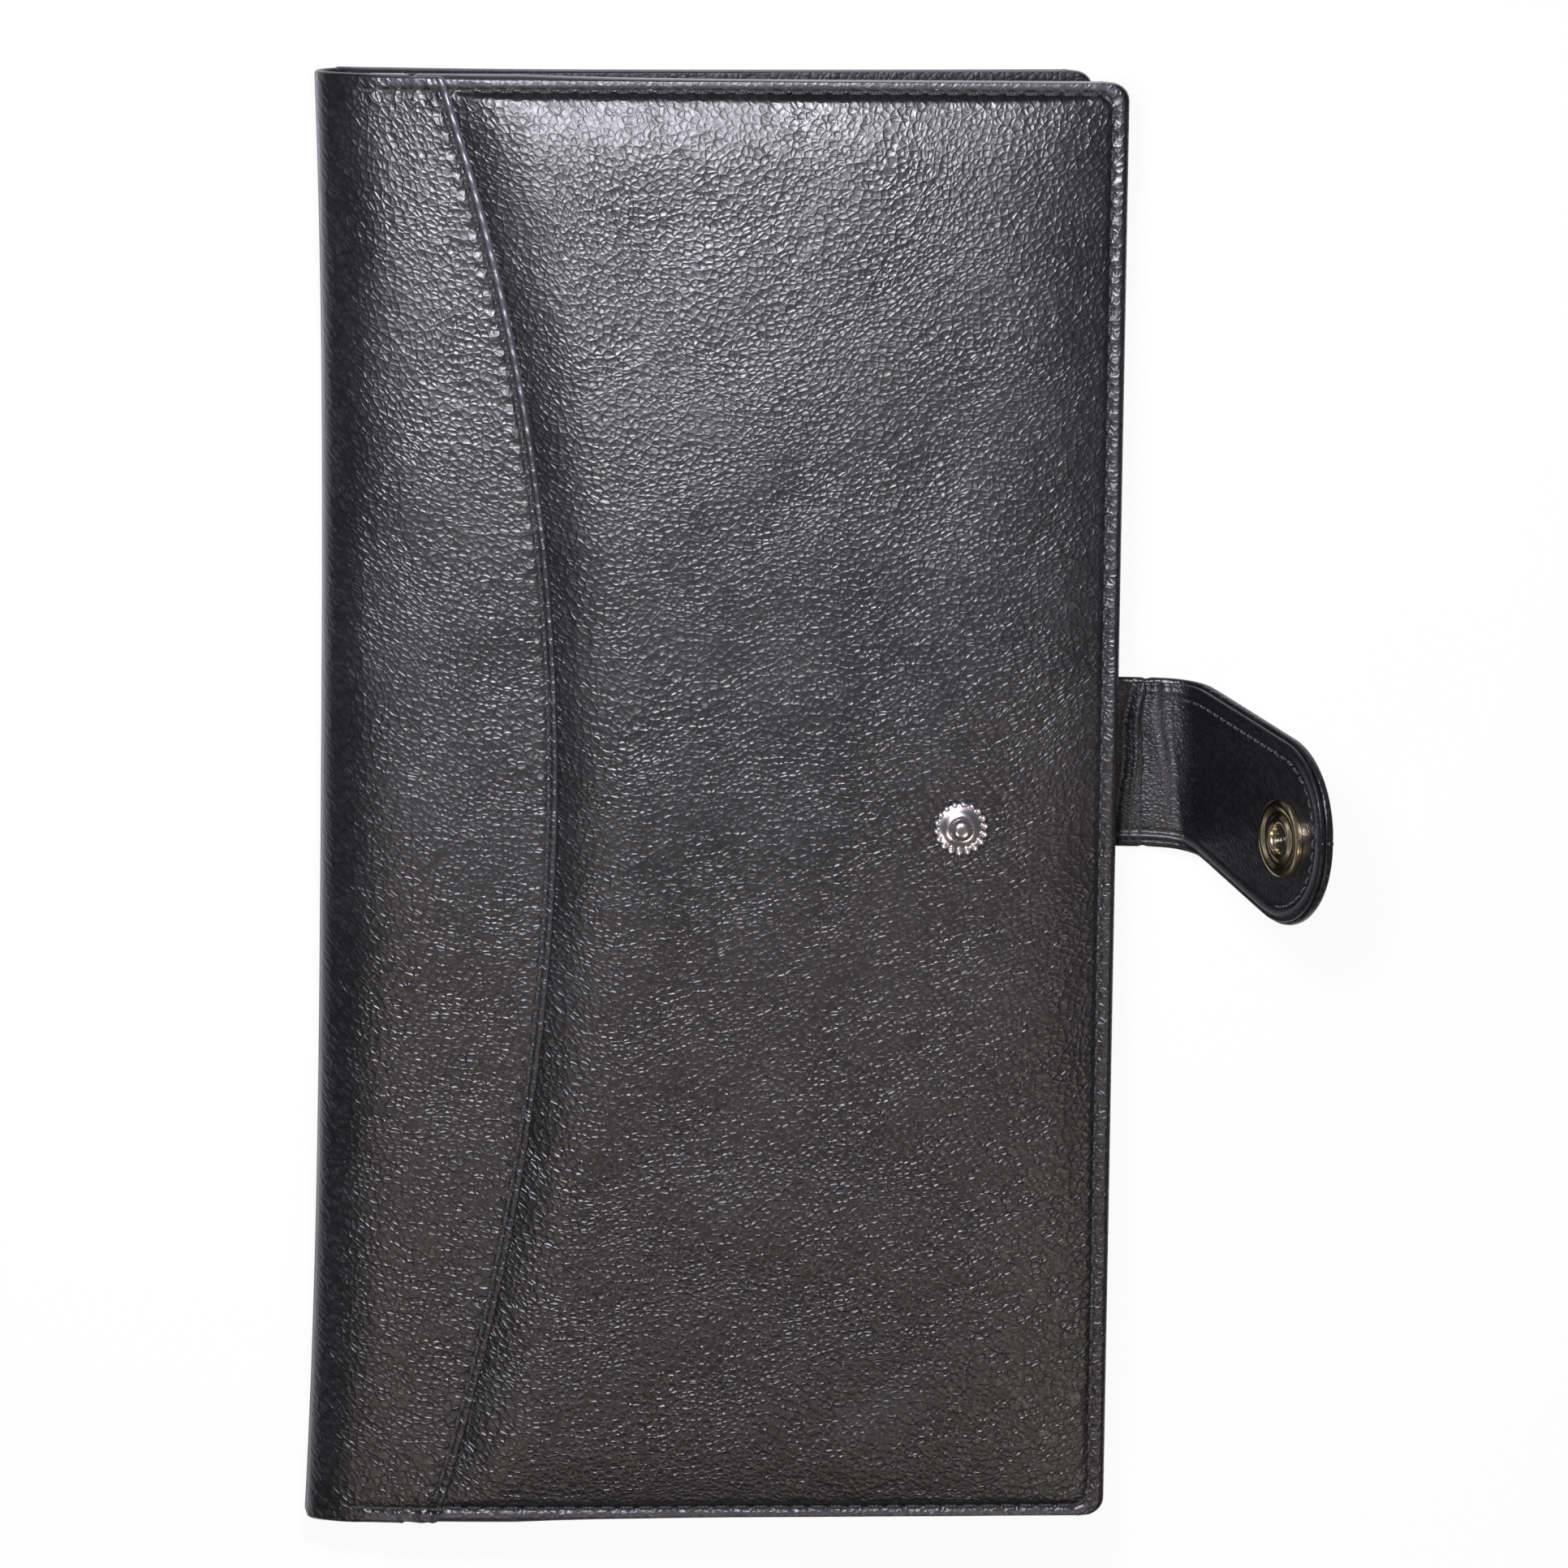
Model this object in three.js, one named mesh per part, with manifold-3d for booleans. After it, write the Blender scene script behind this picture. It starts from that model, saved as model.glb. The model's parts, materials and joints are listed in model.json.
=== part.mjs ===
// Travel document holder: a leather wallet lying on its back cover, with a lapped and padded front
// cover, a rolled spine, inside pockets, and a snap tab that stands open beyond the fore-edge.
// Millimetres. X runs from the spine to the fore-edge, Y to the top edge, Z up from the table.
// The origin is the middle of the back cover's resting face.

import * as THREE from 'three';
import { mergeVertices } from 'three/addons/utils/BufferGeometryUtils.js';
import Module from 'manifold-3d';

const wasm = await Module();
wasm.setup();

// Covers
const coverHeight = 228;
const backWidth = 122;
const foreOverhang = 3; // the front cover reaches this far past the back one
const spineHeight = 12; // outside of the back cover to outside of the front one, at the spine
const rollRadius = 4; // leather rolls into the spine on this radius
const spineBow = 1.8; // the spine is drawn in this much between its ends
const gapeDegrees = 4; // the unfastened front cover stands open this much
const cornerRadius = 2.8;

// Sheet thicknesses
const leather = 1.3;
const skived = 0.8; // the panel's edge, thinned to go under the lap
const board = 1.0;
const lining = 0.6;
const pocketLeather = 0.6;
const layerGap = 0.3; // between sheets that lie on each other
const boardInset = 3.5;
const liningInset = 0.8;

// Curved lap of the spine panel over the front panel
const seamReach = 37.7; // from the spine to the lap's crest
const seamCrestY = 3;
const seamTopFall = 18.9;
const seamBottomFall = 17.9;
const lapWidth = 5;
const lapRamp = 5;

// Padding under the front panel
const padRise = 1.3;
const padRamp = 11;
const padLeast = 0.5; // thinnest foam left at the padding's edge

// Pockets
const pocketSpineInset = 11;
const pocketForeInset = 3;
const pocketEdgeInset = 3;
const ticketPocketTop = 62;
const ticketPocketDip = 5;
const passportPocketTop = 3;
const passportNotchRadius = 11;
const slipPocketSpineInset = 24;
const slipPocketBow = 7;
const cardSlotCount = 4;
const cardSlotTop = 101;
const cardSlotStep = 15;
const cardSlotHeight = 22;
const cardSlotWidth = 92;
const cardSlotForeInset = 5;

// Tab
const tabWidth = 27;
const tabBaseY = 4.1;
const tabAnchorDepth = 17;
const tabAnchorReach = 1.9; // the tongue's end past the back cover's edge
const tabLeather = 1.1;
const tabLining = 0.7;
const tabEdgeClearance = 0.5; // the closed strap's distance to the front cover's lower edge
const tabHingeGap = 0.2; // each side of a fold line, in the outer leather
const tabBaseFold = 1.6; // the lining stops this far from the fold at the back cover
const tabTurnFold = 2.2; // and this far from the fold between strap and flap
const tabEndRadius = 14.2;
const tabEndRise = 1.5; // the round end's centre above the snap
const tabEndSetback = 2; // and nearer the fold than the snap
const tabLiningInset = 0.9;
const strapRestDegrees = 10;
const flapRestDegrees = 70;

// Snap
const studInset = 24.6; // from the front cover's fore-edge
const studY = -3;
const studFlangeRadius = 4.15;
const studFlangeThickness = 0.4;
const studHeight = 3.0;
const studNubRadius = 1.75;
const studPostRadius = 1.6;
const studBoreRadius = 1.15;
const beadCount = 18;
const beadRadius = 0.5;
const socketRadius = 6.1;
const socketRim = 0.7;
const socketBore = 2.2;
const socketBarrelWall = 0.5;
const snapClearance = 0.25;
const springWire = 0.25;
const capRadius = 6.4;
const capHeight = 1.3;
const capPostRadius = 1.1;
const eyeletRadius = 4.2;
const eyeletThickness = 0.4;

// Levels, worked out from the sizes above
const halfHeight = coverHeight / 2;
const spineX = -backWidth / 2;
const backForeX = backWidth / 2;
const frontForeX = backForeX + foreOverhang;
const sheetStart = spineX + rollRadius;
const backBoardZ = leather + layerGap;
const backLiningZ = backBoardZ + board + layerGap;
const ticketPocketZ = backLiningZ + lining + layerGap;
const passportPocketZ = ticketPocketZ + pocketLeather + layerGap;
const frontBoardTop = spineHeight - leather - layerGap;
const frontLiningTop = frontBoardTop - board - layerGap;
const slipPocketTop = frontLiningTop - lining - layerGap;
const cardSlotsTop = slipPocketTop - pocketLeather - layerGap;
const frontUnderside = frontLiningTop - lining;
const studX = frontForeX - studInset;

// Materials
const hide = (name, color, roughness) => {
  const material = new THREE.MeshStandardMaterial({ color, roughness, metalness: 0 });
  material.name = name;
  return material;
};
const grainLeather = hide('grain_leather', 0x1d1c1f, 0.5);
const smoothLeather = hide('smooth_leather', 0x17171a, 0.38);
const liningCloth = hide('lining_cloth', 0x222226, 0.8);
const pocketHide = hide('pocket_leather', 0x1a1a1d, 0.5);
const boardStock = hide('board', 0x8a8073, 0.9);
const foamStock = hide('foam', 0x3a3a3c, 0.95);
const nickel = new THREE.MeshStandardMaterial({ color: 0xc9c7c2, roughness: 0.22, metalness: 1 });
const springSteel = new THREE.MeshStandardMaterial({ color: 0xb9b29c, roughness: 0.3, metalness: 1 });

const lerp = THREE.MathUtils.lerp;
const smooth = (value, low, high) => THREE.MathUtils.smoothstep(value, low, high);

// Geometry helpers

// Keeps positions only, drops collapsed triangles and turns the faces outward.
function tidy(geometry) {
  const bare = geometry.clone();
  for (const name of Object.keys(bare.attributes)) {
    if (name !== 'position') {
      bare.deleteAttribute(name);
    }
  }
  const merged = mergeVertices(bare, 1e-4);
  const position = merged.attributes.position;
  const source = merged.index.array;
  const kept = [];
  let volume = 0;
  const corner = [new THREE.Vector3(), new THREE.Vector3(), new THREE.Vector3()];
  for (let i = 0; i < source.length; i += 3) {
    const [a, b, c] = [source[i], source[i + 1], source[i + 2]];
    if (a !== b && b !== c && c !== a) {
      kept.push(a, b, c);
      corner.forEach((point, k) => point.fromBufferAttribute(position, source[i + k]));
      volume += corner[0].dot(corner[1].clone().cross(corner[2]));
    }
  }
  if (volume < 0) {
    kept.reverse();
  }
  merged.setIndex(kept);
  return merged;
}

function toSolid(geometry) {
  const clean = tidy(geometry);
  const vertProperties = new Float32Array(clean.attributes.position.array);
  const triVerts = new Uint32Array(clean.index.array);
  return new wasm.Manifold(new wasm.Mesh({ numProp: 3, vertProperties, triVerts }));
}

function fromSolid(solid) {
  const mesh = solid.getMesh();
  const geometry = new THREE.BufferGeometry();
  geometry.setAttribute('position', new THREE.BufferAttribute(mesh.vertProperties, 3));
  geometry.setIndex(new THREE.BufferAttribute(mesh.triVerts, 1));
  return geometry;
}

function cut(geometry, ...tools) {
  const result = tools.reduce((solid, tool) => solid.subtract(toSolid(tool)), toSolid(geometry));
  return fromSolid(result);
}

// A round bar along Z, for holes.
function bar(radius, x, y, lowZ, highZ, sides = 24) {
  const geometry = new THREE.CylinderGeometry(radius, radius, highZ - lowZ, sides);
  geometry.rotateX(Math.PI / 2);
  geometry.translate(x, y, (lowZ + highZ) / 2);
  return geometry;
}

// A block between two corners, for notches.
function block(x0, x1, y0, y1, z0, z1) {
  const geometry = new THREE.BoxGeometry(x1 - x0, y1 - y0, z1 - z0);
  geometry.translate((x0 + x1) / 2, (y0 + y1) / 2, (z0 + z1) / 2);
  return geometry;
}

// Joins cross-sections, each a counter-clockwise list of [x, z], along Y into one closed body.
function loft(stations, section) {
  const rings = stations.map((y) => section(y).map(([x, z]) => new THREE.Vector3(x, y, z)));
  const count = rings[0].length;
  const index = [];
  for (let i = 0; i + 1 < rings.length; i += 1) {
    for (let j = 0; j < count; j += 1) {
      const a = i * count + j;
      const b = i * count + (j + 1) % count;
      index.push(a, b + count, b, a, a + count, b + count);
    }
  }
  const cap = (ring, offset, flip) => {
    const outline = ring.map((point) => new THREE.Vector2(point.x, point.z));
    for (const face of THREE.ShapeUtils.triangulateShape(outline, [])) {
      const [a, b, c] = flip ? [face[2], face[1], face[0]] : face;
      index.push(offset + a, offset + b, offset + c);
    }
  };
  cap(rings[0], 0, false);
  cap(rings[rings.length - 1], (rings.length - 1) * count, true);
  const geometry = new THREE.BufferGeometry();
  geometry.setFromPoints(rings.flat());
  geometry.setIndex(index);
  return geometry;
}

function arc(centreX, centreZ, radius, fromDegrees, toDegrees, steps) {
  const points = [];
  for (let i = 0; i <= steps; i += 1) {
    const angle = THREE.MathUtils.degToRad(lerp(fromDegrees, toDegrees, i / steps));
    points.push([centreX + radius * Math.cos(angle), centreZ + radius * Math.sin(angle)]);
  }
  return points;
}

// A flat sheet from an outline, lying between two heights.
function sheet(shape, lowZ, thickness) {
  const options = { depth: thickness, bevelEnabled: false, curveSegments: 8 };
  const geometry = new THREE.ExtrudeGeometry(shape, options);
  geometry.translate(0, 0, lowZ);
  return geometry;
}

function roundedPanel(x0, x1, y0, y1, radius) {
  const shape = new THREE.Shape();
  shape.moveTo(x0, y0);
  shape.lineTo(x1 - radius, y0);
  shape.absarc(x1 - radius, y0 + radius, radius, -Math.PI / 2, 0, false);
  shape.lineTo(x1, y1 - radius);
  shape.absarc(x1 - radius, y1 - radius, radius, 0, Math.PI / 2, false);
  shape.lineTo(x0, y1);
  shape.closePath();
  return shape;
}

// A turned part about Z, from a closed profile of [radius, z].
function turned(profile, segments = 36) {
  const points = profile.map(([radius, z]) => new THREE.Vector2(radius, z));
  const geometry = new THREE.LatheGeometry(points, segments);
  geometry.rotateX(Math.PI / 2);
  return geometry;
}

// Shape rules shared by the pieces

const spineShift = (y) => spineBow * (1 - Math.abs(y / halfHeight) ** 3);

function seamX(y) {
  const span = y > seamCrestY ? halfHeight - seamCrestY : halfHeight + seamCrestY;
  const fall = y > seamCrestY ? seamTopFall : seamBottomFall;
  return spineX + seamReach - fall * ((y - seamCrestY) / span) ** 2;
}

function roundedFore(foreX, halfLength, y) {
  const over = Math.max(0, Math.abs(y) - (halfLength - cornerRadius));
  return foreX - cornerRadius + Math.sqrt(Math.max(0, cornerRadius ** 2 - over ** 2));
}

// Stations along Y, closer together round the corners.
function stations(halfLength, steps) {
  const corner = [0, 0.35, 0.7, 0.9, 1].map((share) => halfLength - cornerRadius + share * cornerRadius);
  const straight = [];
  for (let i = 1; i < steps; i += 1) {
    straight.push(lerp(-halfLength + cornerRadius, halfLength - cornerRadius, i / steps));
  }
  return [...corner.map((y) => -y).reverse(), ...straight, ...corner];
}

// How far the padding lifts the front panel at a point.
function padding(x, y) {
  const fromSeam = smooth(x - seamX(y), 0, padRamp);
  const fromFore = smooth(frontForeX - boardInset - x, 0, padRamp);
  const fromEnds = smooth(halfHeight - boardInset - Math.abs(y), 0, padRamp);
  return padRise * fromSeam * fromFore * fromEnds;
}

// Half the angle of the cut between two leathers that share a roll.
const rollCut = THREE.MathUtils.radToDeg(layerGap / 2 / (rollRadius - leather));
const innerRoll = rollRadius - leather;
const rollSteps = 3;

// Back cover

function backLeather() {
  return loft(stations(halfHeight, 12), (y) => {
    const centre = spineX + rollRadius + spineShift(y);
    const fore = roundedFore(backForeX, halfHeight, y) - leather / 2;
    return [
      ...arc(centre, rollRadius, rollRadius, 225 + rollCut, 270, rollSteps),
      ...arc(fore, leather / 2, leather / 2, -90, 90, 4),
      ...arc(centre, rollRadius, innerRoll, 270, 225 + rollCut, rollSteps),
    ];
  });
}

const anchorX0 = backForeX - tabAnchorDepth;
const anchorX1 = backForeX + tabAnchorReach - tabHingeGap;
const anchorY0 = tabBaseY - tabWidth / 2;
const anchorY1 = tabBaseY + tabWidth / 2;

function backBoard() {
  const half = halfHeight - boardInset;
  const shape = roundedPanel(sheetStart + spineBow, backForeX - boardInset, -half, half, cornerRadius);
  const notch = block(anchorX0 - layerGap, backForeX, anchorY0 - layerGap, anchorY1 + layerGap, 0, spineHeight);
  return cut(sheet(shape, backBoardZ, board), notch);
}

function backLining() {
  const half = halfHeight - liningInset;
  const shape = roundedPanel(sheetStart + spineBow, backForeX - liningInset, -half, half, cornerRadius);
  return sheet(shape, backLiningZ, lining);
}

// The tall pocket's mouth dips in the middle.
function ticketPocket() {
  const x0 = spineX + pocketSpineInset;
  const x1 = backForeX - pocketForeInset;
  const bottom = -halfHeight + pocketEdgeInset;
  const shape = new THREE.Shape();
  shape.moveTo(x0, bottom);
  shape.lineTo(x1, bottom);
  shape.lineTo(x1, ticketPocketTop);
  shape.quadraticCurveTo((x0 + x1) / 2, ticketPocketTop - 2 * ticketPocketDip, x0, ticketPocketTop);
  shape.closePath();
  return sheet(shape, ticketPocketZ, pocketLeather);
}

// The passport pocket has a thumb notch in its mouth.
function passportPocket() {
  const x0 = spineX + pocketSpineInset;
  const x1 = backForeX - pocketForeInset;
  const middle = (x0 + x1) / 2;
  const bottom = -halfHeight + pocketEdgeInset;
  const shape = new THREE.Shape();
  shape.moveTo(x0, bottom);
  shape.lineTo(x1, bottom);
  shape.lineTo(x1, passportPocketTop);
  shape.lineTo(middle + passportNotchRadius, passportPocketTop);
  shape.absarc(middle, passportPocketTop, passportNotchRadius, 0, Math.PI, true);
  shape.lineTo(x0, passportPocketTop);
  shape.closePath();
  return sheet(shape, passportPocketZ, pocketLeather);
}

function tabAnchor() {
  return block(anchorX0, anchorX1, anchorY0, anchorY1, backBoardZ, backBoardZ + board);
}

// Spine

function spineLeather() {
  return loft(stations(halfHeight, 12), (y) => {
    const centre = spineX + rollRadius + spineShift(y);
    const upper = spineHeight - rollRadius;
    return [
      ...arc(centre, upper, rollRadius, 135 + rollCut, 180, rollSteps),
      ...arc(centre, rollRadius, rollRadius, 180, 225 - rollCut, rollSteps),
      ...arc(centre, rollRadius, innerRoll, 225 - rollCut, 180, rollSteps),
      ...arc(centre, upper, innerRoll, 180, 135 + rollCut, rollSteps),
    ];
  });
}

function spineLining() {
  const half = halfHeight - liningInset;
  return loft(stations(half, 12), (y) => {
    const x = spineX + spineShift(y) + leather + layerGap;
    const low = rollRadius;
    const high = spineHeight - rollRadius;
    return [[x, low], [x + lining, low], [x + lining, high], [x, high]];
  });
}

// Front cover, laid out flat: its group turns it open by the gape

function frontSpinePanel() {
  const flat = spineHeight;
  const lapLift = skived + layerGap;
  return loft(stations(halfHeight, 24), (y) => {
    const centre = spineX + rollRadius + spineShift(y);
    const edge = seamX(y);
    const lapStart = edge - lapWidth;
    const rampStart = lapStart - lapRamp;
    const nose = skived / 2;
    return [
      ...arc(centre, spineHeight - rollRadius, innerRoll, 135 - rollCut, 90, rollSteps),
      [rampStart, flat - leather],
      [lapStart, flat - leather + lapLift],
      ...arc(edge - nose, flat - leather + lapLift + nose, nose, -90, 90, 4),
      [lapStart, flat - leather + lapLift + skived + 0.1],
      [rampStart, flat],
      ...arc(centre, spineHeight - rollRadius, rollRadius, 90, 135 - rollCut, rollSteps),
    ];
  });
}

const panelStep = 14;

// Places across the front panel at one height, from under the lap to the fore-edge.
function panelColumns(y) {
  const start = seamX(y) - lapWidth + layerGap;
  const end = roundedFore(frontForeX, halfHeight, y) - leather / 2;
  const columns = [start, seamX(y), seamX(y) + padRamp * 0.3, seamX(y) + padRamp * 0.65];
  const first = seamX(y) + padRamp;
  const last = frontForeX - boardInset - padRamp;
  for (let i = 0; i <= panelStep; i += 1) {
    columns.push(lerp(first, last, i / panelStep));
  }
  const rest = [0.35, 0.7, 1].map((share) => lerp(last, end, share));
  return [...columns, ...rest];
}

function panelUnder(x, y) {
  return frontBoardTop + layerGap + padding(x, y);
}

function panelOver(x, y) {
  return panelUnder(x, y) + lerp(skived, leather, smooth(x - seamX(y), 0, padRamp));
}

function frontPanel() {
  const holes = bar(studPostRadius + layerGap, studX, studY, 0, 2 * spineHeight);
  const panel = loft(stations(halfHeight, 24), (y) => {
    const columns = panelColumns(y);
    const under = columns.map((x) => [x, panelUnder(x, y)]);
    const over = columns.map((x) => [x, panelOver(x, y)]).reverse();
    const end = columns[columns.length - 1];
    const nose = arc(end, panelUnder(end, y) + leather / 2, leather / 2, -60, 60, 2);
    return [...under, ...nose, ...over];
  });
  return cut(panel, holes);
}

// The foam's edge, inside the panel's ramps, where it is at least padLeast thick.
function frontPadding() {
  const share = 0.62;
  const half = halfHeight - boardInset - padRamp * share;
  const steps = 10;
  const rows = [];
  for (let i = 0; i <= 14; i += 1) {
    rows.push(lerp(-half, half, i / 14));
  }
  const foam = loft(rows, (y) => {
    const start = seamX(y) + padRamp * share;
    const end = frontForeX - boardInset - padRamp * share;
    const floor = frontBoardTop;
    const under = [[start, floor], [end, floor]];
    const over = [];
    for (let i = 0; i <= steps; i += 1) {
      const x = lerp(end, start, i / steps);
      over.push([x, Math.max(floor + padLeast, panelUnder(x, y) - layerGap)]);
    }
    return [...under, ...over];
  });
  return cut(foam, bar(eyeletRadius + layerGap, studX, studY, 0, 2 * spineHeight));
}

function frontBoard() {
  const half = halfHeight - boardInset;
  const shape = roundedPanel(sheetStart + spineBow, frontForeX - boardInset, -half, half, cornerRadius);
  const hole = bar(eyeletRadius + layerGap, studX, studY, 0, 2 * spineHeight);
  return cut(sheet(shape, frontBoardTop - board, board), hole);
}

function frontLining() {
  const half = halfHeight - liningInset;
  const shape = roundedPanel(sheetStart + spineBow, frontForeX - liningInset, -half, half, cornerRadius);
  return sheet(shape, frontUnderside, lining);
}

// A full-height pocket whose curved mouth faces the spine.
function slipPocket() {
  const x0 = spineX + slipPocketSpineInset;
  const x1 = frontForeX - pocketForeInset;
  const end = halfHeight - pocketEdgeInset;
  const shape = new THREE.Shape();
  shape.moveTo(x0, -end);
  shape.lineTo(x1, -end);
  shape.lineTo(x1, end);
  shape.lineTo(x0, end);
  shape.quadraticCurveTo(x0 + 2 * slipPocketBow, 0, x0, -end);
  return sheet(shape, slipPocketTop - pocketLeather, pocketLeather);
}

// Card slots overlap like shingles, each mouth standing over the slot above.
function cardSlot(number) {
  const top = cardSlotTop - number * cardSlotStep;
  const x1 = frontForeX - cardSlotForeInset;
  const x0 = x1 - cardSlotWidth;
  const geometry = block(x0, x1, -cardSlotHeight, 0, -pocketLeather, 0);
  const slope = (pocketLeather + layerGap) / cardSlotStep;
  const lift = cardSlotHeight * slope;
  geometry.rotateX(-Math.atan(slope));
  geometry.translate(0, top, cardSlotsTop - lift);
  return geometry;
}

// Snap on the front cover

const studSeat = panelOver(studX, studY);

function snapStud() {
  const flangeLow = layerGap;
  const flangeTop = flangeLow + studFlangeThickness;
  const postLow = -leather - layerGap;
  const neck = studNubRadius - 0.35;
  const body = turned([
    [0, studHeight - 1.2],
    [studBoreRadius, studHeight - 1.2],
    [studBoreRadius, postLow],
    [studPostRadius, postLow],
    [studPostRadius, flangeLow],
    [studFlangeRadius, flangeLow],
    [studFlangeRadius, flangeTop - 0.1],
    [studFlangeRadius - 0.2, flangeTop],
    [neck + 0.7, flangeTop],
    [neck, flangeTop + 0.4],
    [neck, studHeight - 1.3],
    [studNubRadius, studHeight - 0.8],
    [studNubRadius, studHeight - 0.5],
    [studNubRadius - 0.5, studHeight],
    [0, studHeight],
  ]);
  let solid = toSolid(body);
  for (let i = 0; i < beadCount; i += 1) {
    const bead = new THREE.SphereGeometry(beadRadius, 8, 6);
    const angle = (2 * Math.PI * i) / beadCount;
    const ring = studFlangeRadius - beadRadius - 0.05;
    bead.translate(ring * Math.cos(angle), ring * Math.sin(angle), flangeTop - 0.3 * beadRadius);
    solid = solid.add(toSolid(bead));
  }
  return fromSolid(solid);
}

const studTop = layerGap + studFlangeThickness + 0.7 * beadRadius;

function studEyelet() {
  const low = frontBoardTop - board;
  const barrelTop = studSeat + studHeight - 1.2 - layerGap;
  const barrel = studBoreRadius - layerGap;
  return turned([
    [0, low],
    [eyeletRadius, low],
    [eyeletRadius, low + eyeletThickness],
    [barrel, low + eyeletThickness],
    [barrel, barrelTop - 0.2],
    [barrel - 0.2, barrelTop],
    [0, barrelTop],
  ]);
}

// Tab, worked out closed and then laid open

const tabBack = tabLeather / 2 + tabLining / 2 + layerGap / 2; // half of the whole tab's thickness
const tabFlapLevel = studTop + snapClearance + socketRim + layerGap + tabBack;
const foldBase = new THREE.Vector2(backForeX + tabAnchorReach, backBoardZ + board / 2);
const lowerEdge = new THREE.Vector2(frontForeX + tabEdgeClearance + tabBack, frontUnderside);
const closedSlope = (lowerEdge.x - foldBase.x) / (lowerEdge.y - foldBase.y);
const foldClosedZ = studSeat + tabFlapLevel;
const foldClosedX = foldBase.x + closedSlope * (foldClosedZ - foldBase.y);
const strapLength = Math.hypot(foldClosedX - foldBase.x, foldClosedZ - foldBase.y);
const socketDistance = foldClosedX - studX;

const leatherLow = -tabBack;
const leatherTop = -tabBack + tabLeather;
const tabLiningLow = leatherTop + layerGap;
const tabLiningTop = tabLiningLow + tabLining;

function strapLeather() {
  const end = strapLength - tabHingeGap;
  return block(tabHingeGap, end, anchorY0, anchorY1, leatherLow, leatherTop);
}

function strapLining() {
  const y0 = anchorY0 + tabLiningInset;
  const y1 = anchorY1 - tabLiningInset;
  return block(tabBaseFold, strapLength - tabTurnFold, y0, y1, tabLiningLow, tabLiningTop);
}

// A tongue that runs from the fold, by tangents, to a full round end.
function flapShape(start, inset) {
  const radius = tabEndRadius - inset;
  const centre = new THREE.Vector2(socketDistance - tabEndSetback, studY + tabEndRise);
  const bottom = new THREE.Vector2(start, anchorY0 + inset);
  const top = new THREE.Vector2(start, anchorY1 - inset);
  const tangent = (corner, side) => {
    const out = corner.clone().sub(centre);
    return out.angle() + side * Math.acos(radius / out.length());
  };
  const shape = new THREE.Shape();
  shape.moveTo(top.x, top.y);
  shape.lineTo(bottom.x, bottom.y);
  shape.absarc(centre.x, centre.y, radius, tangent(bottom, 1), tangent(top, -1), false);
  shape.closePath();
  return shape;
}

function flapLeather() {
  const post = bar(capPostRadius + layerGap, socketDistance, studY, -spineHeight, spineHeight);
  return cut(sheet(flapShape(tabHingeGap, 0), leatherLow, tabLeather), post);
}

function flapLining() {
  const barrel = socketBore + socketBarrelWall + layerGap;
  const hole = bar(barrel, socketDistance, studY, -spineHeight, spineHeight);
  return cut(sheet(flapShape(tabTurnFold, tabLiningInset), tabLiningLow, tabLining), hole);
}

// The socket has a groove that holds the ring spring round the stud's nub.
function snapSocket() {
  const rimLow = tabLiningTop + layerGap;
  const rimTop = rimLow + socketRim;
  const barrelLow = leatherTop + layerGap;
  const barrel = socketBore + socketBarrelWall;
  const groove = barrel + 0.6;
  return turned([
    [socketBore, barrelLow],
    [barrel, barrelLow],
    [barrel, rimLow],
    [socketRadius, rimLow],
    [socketRadius, rimTop - 0.35],
    [socketRadius - 0.5, rimTop],
    [groove + 0.9, rimTop],
    [groove + 0.6, rimTop - 0.2],
    [socketBore + 0.2, rimTop - 0.1],
    [socketBore, rimTop - 0.25],
    [socketBore, barrelLow],
  ]);
}

// An open wire ring, set in the barrel.
function socketSpring() {
  const path = new THREE.CatmullRomCurve3([...Array(17).keys()].map((i) => {
    const angle = lerp(0.25, 2 * Math.PI - 0.25, i / 16);
    const ring = socketBore - springWire - 0.05;
    return new THREE.Vector3(ring * Math.cos(angle), ring * Math.sin(angle), 0);
  }));
  const section = new THREE.Shape();
  section.absarc(0, 0, springWire / 2, 0, 2 * Math.PI, false);
  const options = { steps: 32, extrudePath: path, curveSegments: 4, bevelEnabled: false };
  return new THREE.ExtrudeGeometry(section, options);
}

// The outer cap is domed, with a post through the leather.
function snapCap() {
  const seat = leatherLow - layerGap;
  const dome = [];
  for (let i = 0; i <= 6; i += 1) {
    const share = i / 6;
    dome.push([capRadius * Math.sin(share * Math.PI / 2), seat - capHeight + capHeight * share ** 2.2]);
  }
  return turned([
    ...dome,
    [capPostRadius, seat],
    [capPostRadius, leatherTop],
    [0, leatherTop],
  ]);
}

// Assembly

const scene = new THREE.Group();

function place(parent, name, geometry, material) {
  const mesh = new THREE.Mesh(tidy(geometry), material);
  mesh.name = name;
  parent.add(mesh);
  return mesh;
}

place(scene, 'back_leather', backLeather(), grainLeather);
place(scene, 'back_board', backBoard(), boardStock);
place(scene, 'back_lining', backLining(), liningCloth);
place(scene, 'ticket_pocket', ticketPocket(), pocketHide);
place(scene, 'passport_pocket', passportPocket(), pocketHide);
place(scene, 'tab_anchor', tabAnchor(), smoothLeather);

place(scene, 'spine_leather', spineLeather(), grainLeather);
place(scene, 'spine_lining', spineLining(), liningCloth);

// The front cover turns about the spine's upper corner.
const frontHinge = new THREE.Vector3(spineX + leather / 2, 0, spineHeight - leather / 2);
const frontTurn = new THREE.Group();
frontTurn.position.copy(frontHinge);
frontTurn.rotation.y = -THREE.MathUtils.degToRad(gapeDegrees);
scene.add(frontTurn);
const front = new THREE.Group();
front.position.copy(frontHinge).negate();
frontTurn.add(front);

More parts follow.
